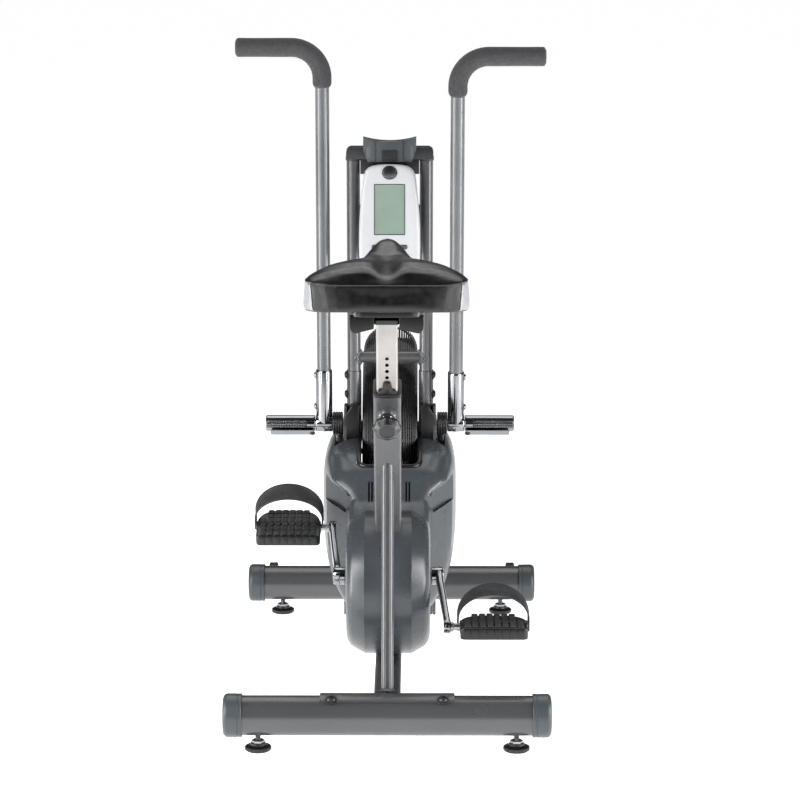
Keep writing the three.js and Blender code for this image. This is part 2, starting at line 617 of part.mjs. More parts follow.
// Face outline: a round top, sides that swell a little, and a round bottom.
function consoleHousing() {
  const [half, top, bottom] = [CONSOLE.half, CONSOLE.height / 2, -CONSOLE.height / 2];
  const face = new THREE.Shape();
  face.moveTo(-half + 10, bottom);
  face.lineTo(half - 10, bottom);
  face.quadraticCurveTo(half - 1, bottom, half - 1, bottom + 12);
  face.quadraticCurveTo(half + 1, 20, half - 7, top - 28);
  face.quadraticCurveTo(half - 12, top - 4, half - 26, top - 2);
  face.quadraticCurveTo(0, top + 3, -half + 26, top - 2);
  face.quadraticCurveTo(-half + 12, top - 4, -half + 7, top - 28);
  face.quadraticCurveTo(-half - 1, 20, -half + 1, bottom + 12);
  face.quadraticCurveTo(-half + 1, bottom, -half + 10, bottom);
  const front = -CONSOLE.depth / 2;
  const body = extrudeY(face, front, CONSOLE.depth / 2, 4);
  const screenPocket = block([-SCREEN.half - GAP, front - 1, SCREEN.low - GAP],
    [SCREEN.half + GAP, front + SCREEN.depth + GAP, SCREEN.high + GAP]);
  const buttonPockets = Object.values(BUTTONS).map(([x, z]) =>
    extrudeY(roundedRect(BUTTON.width + 2 * GAP, BUTTON.height + 2 * GAP, 4, x, z),
      front - 1, front + BUTTON.pocket, 3));
  return cut(body, screenPocket, ...buttonPockets);
}

function consoleScreen() {
  const front = -CONSOLE.depth / 2 + 1;
  return block([-SCREEN.half, front, SCREEN.low], [SCREEN.half, front + SCREEN.depth - 1, SCREEN.high]);
}

function consoleButton([x, z]) {
  const front = -CONSOLE.depth / 2;
  return extrudeY(roundedRect(BUTTON.width, BUTTON.height, 3.8, x, z), front - BUTTON.proud, front + 3, 3);
}

// ---- Cover: two half shells round the crank, the belt and the lower fan ----
const SHROUD_STATIONS = [
  { y: 290, half: 80, low: 165, middle: 310, high: 350 },
  { y: 350, half: 80, low: 150, middle: 335, high: 366 },
  { y: 395, half: 80, low: 140, middle: 345, high: 374 },
  { y: 418, half: 84, waist: 80, low: 132, middle: 350, high: 388 },
  { y: 442, half: 110, waist: 81, low: 124, middle: 360, high: 422 },
  { y: 456, half: 116, waist: 84, low: 120, middle: 360, high: 436 },
  { y: 480, half: 121, waist: 108, low: 115, middle: 360, high: 448 },
  { y: 505, half: 126, low: 112, middle: 360, high: 458 },
  { y: 560, half: 134, low: 112, middle: 360, high: 467 },
  { y: 680, half: 134, low: 112, middle: 360, high: 471 },
  { y: 785, half: 129, low: 116, middle: 355, high: 468 },
  { y: 840, half: 119, low: 135, middle: 345, high: 454 },
  { y: 870, half: 108, low: 165, middle: 335, high: 436 },
  { y: 884, half: 92, low: 200, middle: 320, high: 410 },
];

function drum(inset) {
  const [r, half] = [SHROUD.drumRadius - inset, SHROUD.drumHalf - inset];
  const profile = [[0, -half], [r - 30, -half], [r - 9, -half + 14], [r, -half + 36],
    [r, half - 36], [r - 9, half - 14], [r - 30, half], [0, half]];
  return turnedX(profile, 36).translate(0, CRANK.y, CRANK.z - SHROUD.drumDrop);
}

function shroudBody(inset) {
  const last = SHROUD_STATIONS.length - 1;
  const stations = SHROUD_STATIONS.map((station, i) => ({
    y: station.y - (i === last ? inset : 0),
    half: station.half - inset,
    waist: (station.waist ?? station.half) - inset,
    low: station.low + inset,
    middle: station.middle,
    high: station.high - inset,
  }));
  return join(drum(inset), loft(stations, 5, 2.8, 28));
}

function shroudShell() {
  const { slotHalf, slotRear } = SHROUD;
  const slot = barX(SHROUD.slotRadius, -slotHalf, slotHalf, FAN.y, FAN.z, 44);
  const slotMouth = block([-slotHalf, slotRear, 330], [slotHalf, FORK.bottomY, 500]);
  const axle = barX(CRANK.axleRadius + 3, -100, 100, CRANK.y, CRANK.z, 24);
  const seatUp = outOfFrame(seatFrame, seatPrism(SEAT.tube + 3, 60, 260));
  const seatDown = outOfFrame(seatFrame, seatPrism(SEAT.tube + 3, -240, -60));
  const footHalf = FORK.x + FORK.thickness + 1.5;
  const footClear = block([-footHalf, FORK.bottomY - 17, 90], [footHalf, FORK.bottomY + 17, BEAM.top + 32]);
  const cutters = [shroudBody(SHROUD.wall), slot, slotMouth, axle, seatUp, seatDown, footClear];
  for (const side of Object.values(SIDES)) {
    const slit = (near, far, low, high) => {
      const [a, b] = [side * near, side * far].sort((p, q) => p - q);
      return block([a, low[0], low[1]], [b, high[0], high[1]]);
    };
    cutters.push(
      slit(FORK.x - 1.5, FORK.x + FORK.thickness + 1.5, [566, 100], [640, 330]),
      slit(FORK.x - 1.5, FORK.x + FORK.thickness + 1.5, [598, 420], [690, 500]),
      slit(LEVER.x - 3, LEVER.x + LEVER.thickness + 3, [585, 435], [675, 500]),
      bar(MAST.sleeveRadius + 2, [side * MAST.x, MAST.y, MAST.z - 3], [side * MAST.x, MAST.y - 4, 500], 24));
  }
  return cut(shroudBody(0), ...cutters);
}

function shroudHalf(shell, side) {
  const [a, b] = [side * GAP, side * 200].sort((p, q) => p - q);
  const half = toSolid(shell).intersect(toSolid(block([a, 0, 0], [b, 1000, 600])));
  const pieces = half.decompose();
  return toGeometry(pieces.reduce((best, piece) => (piece.volume() > best.volume() ? piece : best)));
}

// ---- Swing arms, in their own frame at the pivot: hub and lever, socket, tube, grip ----
function pivotHub(side) {
  const spanX = (from, to) => [side * from, side * to].sort((p, q) => p - q);
  const hub = barX(PIVOT.hubRadius, ...spanX(96, 116.8), 0, 0, 28);
  const [a, b] = spanX(LEVER.x, LEVER.x + LEVER.thickness);
  const lever = block([a, -9, -LEVER.length], [b, 9, 0]);
  const eye = barX(LEVER.radius, a, b, 0, -LEVER.length, 20);
  const bore = barX(PIVOT.shaftRadius + GAP, ...spanX(90, 120), 0, 0, 20);
  const pinHole = barX(5, ...spanX(90, 120), 0, -LEVER.length, 16);
  return cut(join(hub, lever, eye), bore, pinHole);
}

function armSocket(side) {
  const [a, b] = [side * 117.2, side * 151].sort((p, q) => p - q);
  const x = side * ARM.x;
  const collar = barX(17, a, b, 0, 0, 28);
  const cup = bar(16.8, [x, 0, 0], [x, 0, 112], 28);
  const pocket = bar(ARM.radius + GAP, [x, 0, 19], [x, 0, 120], 20);
  const bore = barX(PIVOT.shaftRadius + GAP, a - 3, b + 3, 0, 0, 20);
  return cut(join(collar, cup), pocket, bore);
}

// The bar's centre line: up from the pivot, then outwards.
function armPath(side, start, end) {
  return [[side * ARM.x, 0, start], [side * ARM.x, 0, ARM.height], [side * end, 0, ARM.height]];
}

function armTube(side) {
  return bentTube(armPath(side, 20, ARM.gripEnd - 6), ARM.bend, ARM.radius, 14, 6);
}

function foamGrip(side) {
  const outer = bentTube(armPath(side, ARM.gripStart, ARM.gripEnd), ARM.bend, ARM.gripRadius, 14, 6);
  const innerPath = armPath(side, ARM.gripStart - 5, ARM.gripEnd - 5);
  const inner = bentTube(innerPath, ARM.bend, ARM.radius + 2 * GAP, 14, 6);
  return cut(outer, inner);
}

// A foot peg on the pivot shaft, with the curved splash plate under it.
function footPeg(side) {
  const profile = [[0, 94], [PIVOT.shaftRadius, 94], [PIVOT.shaftRadius, PEG.inner],
    [PEG.radius, PEG.inner], [PEG.radius, PEG.outer - 2], [PEG.radius - 2, PEG.outer], [0, PEG.outer]];
  const peg = turnedX(profile, 28);
  if (side < 0) peg.rotateZ(180 * DEG);
  const plate = new THREE.Shape();
  plate.absarc(0, 0, 24, 215 * DEG, 325 * DEG, false);
  plate.absarc(0, 0, 21, 325 * DEG, 215 * DEG, true);
  plate.closePath();
  const web = block([-1.5, -1.5, -23], [1.5, 1.5, -PEG.radius + 1]);
  const [a, b] = [side * (PEG.inner + 2), side * (PEG.outer - 10)].sort((p, q) => p - q);
  web.scale((b - a) / 3, 1, 1).translate((a + b) / 2, 0, 0);
  return join(peg, extrudeX(plate, a, b), web).translate(0, PIVOT.y, PIVOT.z);
}

// The rod runs back from the lever's pin and steps inward to pass beside the crank pulley.
function connectingRod(side) {
  const outerX = LEVER.x - GAP - 1 - ROD.thickness;
  const far = -ROD.length;
  const outline = [[12, outerX], [12, outerX + ROD.thickness], [-ROD.kneeStart, outerX + ROD.thickness],
    [-ROD.kneeEnd, ROD.innerX + ROD.thickness], [far, ROD.innerX + ROD.thickness], [far, ROD.innerX],
    [-ROD.kneeEnd, ROD.innerX], [-ROD.kneeStart, outerX]].map(([y, x]) => [side * x, y]);
  const rod = extrudeZ(polygon(side > 0 ? outline.reverse() : outline), -8, 8);
  const [a, b] = [side * (outerX + 1), side * (LEVER.x + LEVER.thickness)].sort((p, q) => p - q);
  return join(rod, barX(4.7, a, b, 0, 0, 16));
}

// ---- Assembly ----
add('rear_stabiliser', stabiliser(0, STABILISER.rearHalf), 'framePaint');
add('front_stabiliser', frontStabiliser(), 'framePaint');
for (const [name, side] of Object.entries(SIDES)) {
  add(`rear_cap_${name}`, endCap(side, 0, STABILISER.rearHalf), 'capPlastic');
  add(`front_cap_${name}`, endCap(side, STABILISER.spacing, STABILISER.frontHalf), 'capPlastic');
  add(`rear_foot_${name}`, levellingFoot(side * FOOT.x, 0), 'rubber');
  add(`front_foot_${name}`, levellingFoot(side * FOOT.x, STABILISER.spacing), 'rubber');
  add(`transport_wheel_${name}`, transportWheel(side), 'blackPlastic');
}
add('main_beam', mainBeam(), 'framePaint');
add('rear_bracket', rearBracket(), 'framePaint');
add('rear_stay', rearStay(), 'framePaint');
add('seat_tube', seatTube(), 'framePaint', seatFrame);
add('seat_bush', seatBush(), 'blackPlastic', seatFrame);
add('seat_post', seatPost(), 'chrome', seatFrame);
add('seat_pin', pullPin(), 'blackPlastic', seatFrame);
add('saddle_pan', saddlePan(), 'blackPlastic');
add('saddle', saddle(), 'vinyl');

const crankFrame = frameAt(bike, [0, CRANK.y, CRANK.z], CRANK.phase);
add('crank_axle', crankAxle(), 'steel', crankFrame);
add('crank_pulley', pulley(PULLEY.large, CRANK.axleRadius + GAP), 'steel', crankFrame);
const CRANK_TURN = { left: 0, right: Math.PI };
for (const [name, side] of Object.entries(SIDES)) {
  const turned = frameAt(crankFrame, [0, 0, 0], CRANK_TURN[name]);
  add(`crank_${name}`, crankArm(side), 'chrome', turned);
  const tilt = PEDAL_TILT[name] - CRANK.phase - CRANK_TURN[name];
  const pedalFrame = frameAt(turned, [0, CRANK.arm, 0], tilt);
  add(`pedal_${name}`, pedal(side), 'blackPlastic', pedalFrame);
  add(`pedal_strap_${name}`, pedalStrap(side), 'rubber', pedalFrame);
}
add('drive_belt', belt(), 'rubber');

const fanFrame = frameAt(bike, [0, FAN.y, FAN.z]);
add('fan_axle', barX(FAN.axleRadius, -FORK.x - 12, FORK.x + 12, 0, 0, 20), 'steel', fanFrame);
add('fan_wheel', fanWheel(), 'blackPlastic', fanFrame);
add('fan_pulley', pulley(PULLEY.small, FAN.axleRadius + GAP), 'steel', fanFrame);
add('fan_cage', fanCage(), 'blackWire');

add('mast_brace', mastBrace(), 'framePaint', mastFrame);
add('mast_head', mastHead(), 'blackPlastic', mastFrame);
add('console_bracket', consoleBracket(), 'blackPlastic', mastFrame);
add('console_housing', consoleHousing(), 'silverPlastic', consoleFrame);
add('console_screen', consoleScreen(), 'screen', consoleFrame);
for (const [name, place] of Object.entries(BUTTONS)) {
  add(`button_${name}`, consoleButton(place), 'blackPlastic', consoleFrame);
}

const shell = shroudShell();
for (const [name, side] of Object.entries(SIDES)) {
  add(`shroud_${name}`, shroudHalf(shell, side), 'coverPlastic');
  add(`fork_plate_${name}`, forkPlate(side), 'framePaint');
  add(`mast_${name}`, mast(side), 'framePaint', mastFrame);
  add(`foot_peg_${name}`, footPeg(side), 'chrome');
  const armFrame = frameAt(bike, [0, PIVOT.y, PIVOT.z], ARM_LEAN[name]);
  add(`pivot_hub_${name}`, pivotHub(side), 'blackPlastic', armFrame);
  add(`arm_socket_${name}`, armSocket(side), 'chrome', armFrame);
  add(`arm_tube_${name}`, armTube(side), 'armPaint', armFrame);
  add(`arm_grip_${name}`, foamGrip(side), 'foam', armFrame);
  const rodFrame = frameAt(armFrame, [0, 0, -LEVER.length], ROD.slope - ARM_LEAN[name]);
  add(`connecting_rod_${name}`, connectingRod(side), 'steel', rodFrame);
}

// The origin goes under the middle of the bounding box.
bike.position.y = -(REAR_EDGE + FRONT_EDGE) / 2;
bike.updateMatrixWorld(true);

export default bike;
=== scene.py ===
"""An air bike: the looks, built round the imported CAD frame. Metres, +Y forward, +X to the rider's right."""
import json
from math import acos, asin, atan2, ceil, copysign, cos, degrees, exp, pi, radians, sin, sqrt, tan, tanh

import bmesh
import bpy
from mathutils import Matrix, Vector
from mathutils.bvhtree import BVHTree


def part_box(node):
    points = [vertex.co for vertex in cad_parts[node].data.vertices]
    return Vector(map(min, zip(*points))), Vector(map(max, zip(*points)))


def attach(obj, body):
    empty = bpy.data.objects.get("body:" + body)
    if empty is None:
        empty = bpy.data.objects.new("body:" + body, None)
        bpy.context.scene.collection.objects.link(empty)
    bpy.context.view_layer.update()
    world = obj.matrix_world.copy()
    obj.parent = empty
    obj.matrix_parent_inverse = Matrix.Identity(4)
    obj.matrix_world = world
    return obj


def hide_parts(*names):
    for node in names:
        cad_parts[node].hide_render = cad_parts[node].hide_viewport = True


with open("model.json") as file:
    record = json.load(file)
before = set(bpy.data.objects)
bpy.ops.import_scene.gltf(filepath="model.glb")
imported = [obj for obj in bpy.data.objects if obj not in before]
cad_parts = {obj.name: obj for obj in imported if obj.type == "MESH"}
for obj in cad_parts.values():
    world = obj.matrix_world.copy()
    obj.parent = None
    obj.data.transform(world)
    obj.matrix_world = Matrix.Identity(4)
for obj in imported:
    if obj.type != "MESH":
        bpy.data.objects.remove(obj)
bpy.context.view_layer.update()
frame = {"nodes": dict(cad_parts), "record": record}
SIDES = {"left": -1, "right": 1}
X, Y, Z = Vector((1, 0, 0)), Vector((0, 1, 0)), Vector((0, 0, 1))


# ---- Places that the frame gives ----
def joint(name):
    return next(j for j in frame["record"]["behaviour"]["joints"] if j["name"] == name)


def pivot(name):
    return Vector(joint(name)["pos_m"])


def middle(node):
    low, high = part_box(node)
    return (Vector(low) + Vector(high)) / 2


def size(node):
    low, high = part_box(node)
    return Vector(high) - Vector(low)


def leaning(origin, angle):
    """A frame at origin, turned about X so that its +Z leans back by angle."""
    return Matrix.Translation(origin) @ Matrix.Rotation(angle, 4, "X")


def facing(origin, direction):
    """A frame at origin whose +Z points along direction."""
    return Matrix.Translation(origin) @ Vector(direction).to_track_quat("Z", "Y").to_matrix().to_4x4()


CRANK_AT = Vector((0, *pivot("crank_spin")[1:]))
FAN_AT = Vector((0, *pivot("fan_spin")[1:]))
ARM_AT = Vector((0, *pivot("arm_left_swing")[1:]))
SEAT_LEAN = asin(-joint("seat_slide")["axis"][1])
SEAT = leaning(CRANK_AT, SEAT_LEAN)
MAST_LEAN = radians(3)
MAST_X = (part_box("mast_left")[0][0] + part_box("mast_left")[1][0]) / -2
CONSOLE_TILT = radians(6)
CONSOLE = leaning(middle("console_housing"), -CONSOLE_TILT)
REAR_AXIS = middle("rear_stabiliser")
FRONT_AXIS = Vector((0, *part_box("front_cap_left")[0][1:])) + Vector((0, *size("front_cap_left")[1:])) / 2


def arm_lean(side):
    lever = pivot(f"rod_{side}_swing") - ARM_AT
    return atan2(lever.y, -lever.z)


# ---- Materials ----
def linear(code):
    """A #rrggbb colour as the shader wants it."""
    parts = [int(code[i:i + 2], 16) / 255 for i in (1, 3, 5)]
    return [c / 12.92 if c <= 0.04045 else ((c + 0.055) / 1.055) ** 2.4 for c in parts] + [1]


class Finish:
    """A Principled material whose detail is worked out in the object's own space."""

    def __init__(self, name, colour, roughness, metallic=0.0, **sockets):
        self.material = bpy.data.materials.new(name)
        self.material.use_nodes = True
        self.nodes = self.material.node_tree.nodes
        self.links = self.material.node_tree.links
        self.shader = self.nodes["Principled BSDF"]
        self.colour = colour
        self.shader.inputs["Base Color"].default_value = linear(colour)
        self.shader.inputs["Roughness"].default_value = roughness
        self.shader.inputs["Metallic"].default_value = metallic
        for socket, value in sockets.items():
            self.shader.inputs[socket.replace("_", " ")].default_value = value
        self.place = self.nodes.new("ShaderNodeTexCoord").outputs["Object"]

    def stretched(self, scale):
        mapping = self.nodes.new("ShaderNodeMapping")
        mapping.inputs["Scale"].default_value = scale
        self.links.new(self.place, mapping.inputs["Vector"])
        return mapping.outputs["Vector"]

    def noise(self, scale, detail=3.0, stretch=(1, 1, 1)):
        node = self.nodes.new("ShaderNodeTexNoise")
        node.inputs["Scale"].default_value = scale
        node.inputs["Detail"].default_value = detail
        self.links.new(self.stretched(stretch), node.inputs["Vector"])
        return node.outputs["Fac"]

    def cells(self, scale, feature="F1"):
        node = self.nodes.new("ShaderNodeTexVoronoi")
        node.feature = feature
        node.inputs["Scale"].default_value = scale
        self.links.new(self.place, node.inputs["Vector"])
        return node.outputs["Distance"]

    def mapped(self, value, low, high, start=0.3, end=0.7):
        node = self.nodes.new("ShaderNodeMapRange")
        for socket, number in (("From Min", start), ("From Max", end), ("To Min", low), ("To Max", high)):
            node.inputs[socket].default_value = number
        self.links.new(value, node.inputs["Value"])
        return node.outputs["Result"]

    def mix(self, value, first, second):
        node = self.nodes.new("ShaderNodeMix")
        node.data_type = "RGBA"
        self.links.new(value, node.inputs[0])
        for number, colour in ((6, first), (7, second)):
            if isinstance(colour, str):
                node.inputs[number].default_value = linear(colour)
            else:
                self.links.new(colour, node.inputs[number])
        return node.outputs[2]

    def tint(self, value, other):
        """Blends the base colour towards another by value."""
        self.links.new(self.mix(value, self.colour, other), self.shader.inputs["Base Color"])
        return self

    def gloss(self, value, low, high, start=0.3, end=0.7):
        self.links.new(self.mapped(value, low, high, start, end), self.shader.inputs["Roughness"])
        return self

    def bump(self, value, depth, strength=1.0):
        node = self.nodes.new("ShaderNodeBump")
        node.inputs["Distance"].default_value = depth
        node.inputs["Strength"].default_value = strength
        self.links.new(value, node.inputs["Height"])
        earlier = self.shader.inputs["Normal"].links
        if earlier:
            self.links.new(earlier[0].from_socket, node.inputs["Normal"])
        self.links.new(node.outputs["Normal"], self.shader.inputs["Normal"])
        return self


def powder_coat(name, colour, lighter, roughness=0.36):
    """Satin powder coat: a fine orange peel, with slightly uneven gloss."""
    coat = Finish(name, colour, roughness, metallic=0.3, Specular_IOR_Level=0.6)
    coat.tint(coat.mapped(coat.noise(6, 2), 0, 1), lighter)
    coat.gloss(coat.noise(14, 2), roughness - 0.01, roughness + 0.015)
    return coat.bump(coat.noise(1100, 2), 0.00002, 0.2).material


def moulded(name, colour, lighter, roughness, grain=0.00008, scale=1100):
    """Injection-moulded plastic with a fine spark-eroded grain."""
    plastic = Finish(name, colour, roughness)
    plastic.tint(plastic.mapped(plastic.noise(14), 0, 1), lighter)
    plastic.gloss(plastic.noise(18, 2), roughness - 0.01, roughness + 0.02)
    return plastic.bump(plastic.noise(scale, 2), grain, 0.15).material


def chrome(name, colour="#d9dadc", roughness=0.07):
    """Bright plating with faint smears and a slight unevenness under it."""
    plate = Finish(name, colour, roughness, metallic=1.0)
    plate.gloss(plate.noise(26, 4), roughness - 0.02, roughness + 0.05, 0.35, 0.75)
    plate.tint(plate.mapped(plate.noise(11, 3), 0, 1), "#85878a")
    return plate.bump(plate.noise(90, 2), 0.00002).material


def brushed(name, colour, roughness, stretch):
    """Brushed or drawn metal: the scratches run along the axis whose stretch is small."""
    metal = Finish(name, colour, roughness, metallic=1.0)
    scratches = metal.noise(220, 6, stretch)
    metal.gloss(scratches, roughness - 0.08, roughness + 0.14)
    metal.tint(metal.mapped(metal.noise(18), 0, 1), "#a9a6a3")
    return metal.bump(scratches, 0.00004).material


def foam_rubber():
    """Closed-cell foam: soft, matt, with fine pores."""
    foam = Finish("foam", "#2d2d2f", 0.88, Sheen_Weight=0.12)
    foam.shader.inputs["Sheen Roughness"].default_value = 0.5
    foam.tint(foam.mapped(foam.noise(160, 5), 0, 1), "#38383b")
    foam.bump(foam.cells(900), 0.00025, 0.7)
    return foam.bump(foam.noise(240, 4), 0.0004, 0.6).material


def vinyl(name, colour, lighter, roughness):
    """Upholstery vinyl: a leather-like pebble grain with a soft shine."""
    skin = Finish(name, colour, roughness, Specular_IOR_Level=0.55)
    skin.tint(skin.mapped(skin.noise(24, 4), 0, 1), lighter)
    skin.gloss(skin.noise(90, 4), roughness - 0.05, roughness + 0.08)
    skin.bump(skin.cells(620, "SMOOTH_F1"), 0.00012, 0.5)
    return skin.bump(skin.noise(30, 2), 0.0003, 0.3).material


def thread():
    yarn = Finish("thread", "#2c2c2f", 0.7)
    yarn.tint(yarn.mapped(yarn.noise(700), 0, 1), "#414146")
    return yarn.bump(yarn.noise(2600, 2), 0.0001).material


def rubber(name, colour="#191a1b", roughness=0.62):
    black = Finish(name, colour, roughness)
    black.tint(black.mapped(black.noise(40, 4), 0, 1), "#26272a")
    black.gloss(black.noise(120, 3), roughness - 0.08, roughness + 0.12)
    return black.bump(black.noise(800, 3), 0.00012).material


def display():
    """The window over an unlit liquid-crystal display, with the faint grid of its cells."""
    glass = Finish("display", "#75847a", 0.16, Coat_Weight=0.5)
    glass.shader.inputs["Coat Roughness"].default_value = 0.04
    glass.tint(glass.mapped(glass.noise(30), 0, 1), "#7a8a7f")
    return glass.bump(glass.cells(1500, "DISTANCE_TO_EDGE"), 0.00002).material


MATERIAL = {
    "frame": powder_coat("frame_paint", "#4d4e50", "#525355", 0.26),
    "arm": powder_coat("arm_paint", "#515456", "#66696b", 0.3),
    "cover": moulded("cover_plastic", "#3a3f43", "#3e4347", 0.27, 0.00002, 500),
    "cap": moulded("cap_plastic", "#3b4145", "#41474b", 0.36, 0.00003),
    "head": moulded("head_plastic", "#1d2022", "#232628", 0.34, 0.00003),
    "black": moulded("black_plastic", "#0a0b0c", "#0f1011", 0.34, 0.00003),
    "gloss_black": moulded("gloss_black", "#141517", "#1c1d20", 0.2, 0.00002),
    "wire": moulded("wire_paint", "#131315", "#1a1a1c", 0.16, 0.00001),
    "chrome": chrome("chrome", "#8f9193", 0.12),
    "post": brushed("post_plating", "#9b9794", 0.34, (1, 0.03, 0.03)),
    "steel": brushed("steel", "#a9acaf", 0.3, (0.03, 1, 1)),
    "zinc": chrome("zinc_plating", "#b9bcc0", 0.22),
    "dark_bolt": powder_coat("bolt_black", "#232427", "#2c2d30", 0.3),
    "silver": moulded("silver_plastic", "#acadb0", "#b2b3b6", 0.3, 0.00002),
    "display": display(),
    "foam": foam_rubber(),
    "vinyl": vinyl("black_vinyl", "#070708", "#0b0b0d", 0.33),
    "silver_vinyl": vinyl("silver_vinyl", "#85878a", "#8e9092", 0.34),
    "thread": thread(),
    "rubber": rubber("rubber"),
}


# ---- Mesh helpers: each part is (points, faces) ----
def ring_faces(start, sides):
    """Quads between the ring of points that starts at start and the one after it."""
    return [[start + i, start + (i + 1) % sides, start + sides + (i + 1) % sides, start + sides + i]
            for i in range(sides)]


def loft(rings, capped=True):
    """A skin through rings that all have the same number of points."""
    sides = len(rings[0])
    points = [Vector(p) for ring in rings for p in ring]
    faces = [face for k in range(len(rings) - 1) for face in ring_faces(k * sides, sides)]
    if capped:
        last = (len(rings) - 1) * sides
        faces += [list(range(sides))[::-1], list(range(last, last + sides))]
    return points, faces


def turns(count):
    """Angles evenly spaced once round."""
    return [2 * pi * i / count for i in range(count)]


def spaced(step, count, start=0):
    """Angles a number of degrees apart."""
    return [radians(start + step * i) for i in range(count)]


def revolve(profile, sides=64):
    """Turns [radius, height] pairs round Z. A radius of nought closes an end."""
    return loft([[(r * cos(a), r * sin(a), z) for a in turns(sides)] for r, z in profile], capped=False)


def across(profile, sides=64):
    """Turns [radius, distance] pairs round the X axis."""
    return in_x(revolve(profile, sides))


def rod(radius, low, high):
    """The profile of a solid cylinder."""
    return [(0, low), (radius, low), (radius, high), (0, high)]


def pipe(inner, outer, low, high):
    """The profile of a cylinder with a bore."""
    return [(inner, low), (outer, low), (outer, high), (inner, high), (inner, low)]


def tube(path, radius, sides=24):
    """A round tube along points. radius is a number, or one for each point."""
    path = [Vector(p) for p in path]
    radii = radius if isinstance(radius, (list, tuple)) else [radius] * len(path)
    last = len(path) - 1
    headings = [(path[min(i + 1, last)] - path[max(i - 1, 0)]).normalized() for i in range(len(path))]
    outward = headings[0].orthogonal().normalized()
    rings = []
    for i, point in enumerate(path):
        if i:
            outward = headings[i - 1].rotation_difference(headings[i]) @ outward
        other = headings[i].cross(outward)
        rings.append([point + radii[i] * (outward * cos(a) + other * sin(a)) for a in turns(sides)])
    return loft(rings)


def hoop(radius, x, wire, steps=96, sides=8):
    """A closed wire ring round the X axis."""
    section = [(x + wire * sin(b), radius + wire * cos(b)) for b in turns(sides)]
    rings = [[(along, out * cos(a), out * sin(a)) for along, out in section] for a in turns(steps)]
    return loft(rings + rings[:1], capped=False)


def layers(outline, *heights):
    """An outline in X and Y, once at each height."""
    return [[(a, b, z) for a, b in outline] for z in heights]


def along_y(outline, *places):
    """An outline in X and Z, once at each place along Y."""
    return [[(a, y, b) for a, b in outline] for y in places]


def mirrored(profile, side):
    """A profile of [radius, distance] pairs, on the left or the right."""
    return [(r, side * x) for r, x in profile]


def mirrored_x(outline, side):
    """An outline of [x, height] pairs, on the left or the right."""
    return [(side * x, z) for x, z in outline]


def slab(outline, low, high):
    """A flat outline in X and Y, from low to high along Z."""
    return loft(layers(outline, low, high))


def cuboid(low, high):
    (x0, y0, z0), (x1, y1, z1) = low, high
    return slab([(x0, y0), (x1, y0), (x1, y1), (x0, y1)], z0, z1)


def arc(centre, radius, start, end, steps=8):
    """Points on an arc, angles in degrees."""
    angles = [radians(start + (end - start) * i / steps) for i in range(steps + 1)]
    return [(centre[0] + radius * cos(a), centre[1] + radius * sin(a)) for a in angles]


def rounded(width, height, radius, centre=(0, 0), steps=6):
    """A rectangle's outline with round corners."""
    a, b = width / 2 - radius, height / 2 - radius
    outline = []
    for k, (u, v) in enumerate(((a, b), (-a, b), (-a, -b), (a, -b))):
        outline += arc((centre[0] + u, centre[1] + v), radius, 90 * k, 90 * k + 90, steps)
    return outline


def bent_path(corners, radius, steps=12):
    """Corner points joined by straight runs and round bends."""
    corners = [Vector(c) for c in corners]
    path = [corners[0]]
    for before, corner, after in zip(corners, corners[1:], corners[2:]):
        heading, leaving = (corner - before).normalized(), (after - corner).normalized()
        turn = heading.angle(leaving)
        inward = (leaving - heading * cos(turn)).normalized()
        start = corner - heading * radius * tan(turn / 2)
        for i in range(steps + 1):
            a = turn * i / steps
            path.append(start + heading * radius * sin(a) + inward * radius * (1 - cos(a)))
    return path + [corners[-1]]


def in_x(part):
    """Turns a part drawn along Z so that it lies along X."""
    points, faces = part
    return [Vector((p[2], p[0], p[1])) for p in points], faces


def in_y(part):
    """Turns a part drawn in X and Y along Z so that it stands in X and Z along Y."""
    points, faces = part
    return [Vector((p[0], -p[2], p[1])) for p in points], faces


def hidden_inside(obj):
    """Removes the doubled points of closed ends and turns every face outwards."""
    mesh = bmesh.new()
    mesh.from_mesh(obj.data)
    bmesh.ops.remove_doubles(mesh, verts=mesh.verts, dist=1e-6)
    bmesh.ops.dissolve_degenerate(mesh, edges=mesh.edges, dist=1e-7)
    bmesh.ops.recalc_face_normals(mesh, faces=mesh.faces)
    mesh.to_mesh(obj.data)
    mesh.free()


def shade(obj, crease=38):
    """Smooth shading, with every edge sharper than crease degrees kept crisp."""
    mesh = bmesh.new()
    mesh.from_mesh(obj.data)
    for face in mesh.faces:
        face.smooth = True
    for edge in mesh.edges:
        edge.smooth = edge.is_manifold and edge.calc_face_angle(0) < radians(crease)
    mesh.to_mesh(obj.data)
    mesh.free()


def bake(obj):
    """Replaces the mesh by what its modifiers make of it."""
    graph = bpy.context.evaluated_depsgraph_get()
    made = bpy.data.meshes.new_from_object(obj.evaluated_get(graph))
    obj.modifiers.clear()
    obj.data = made


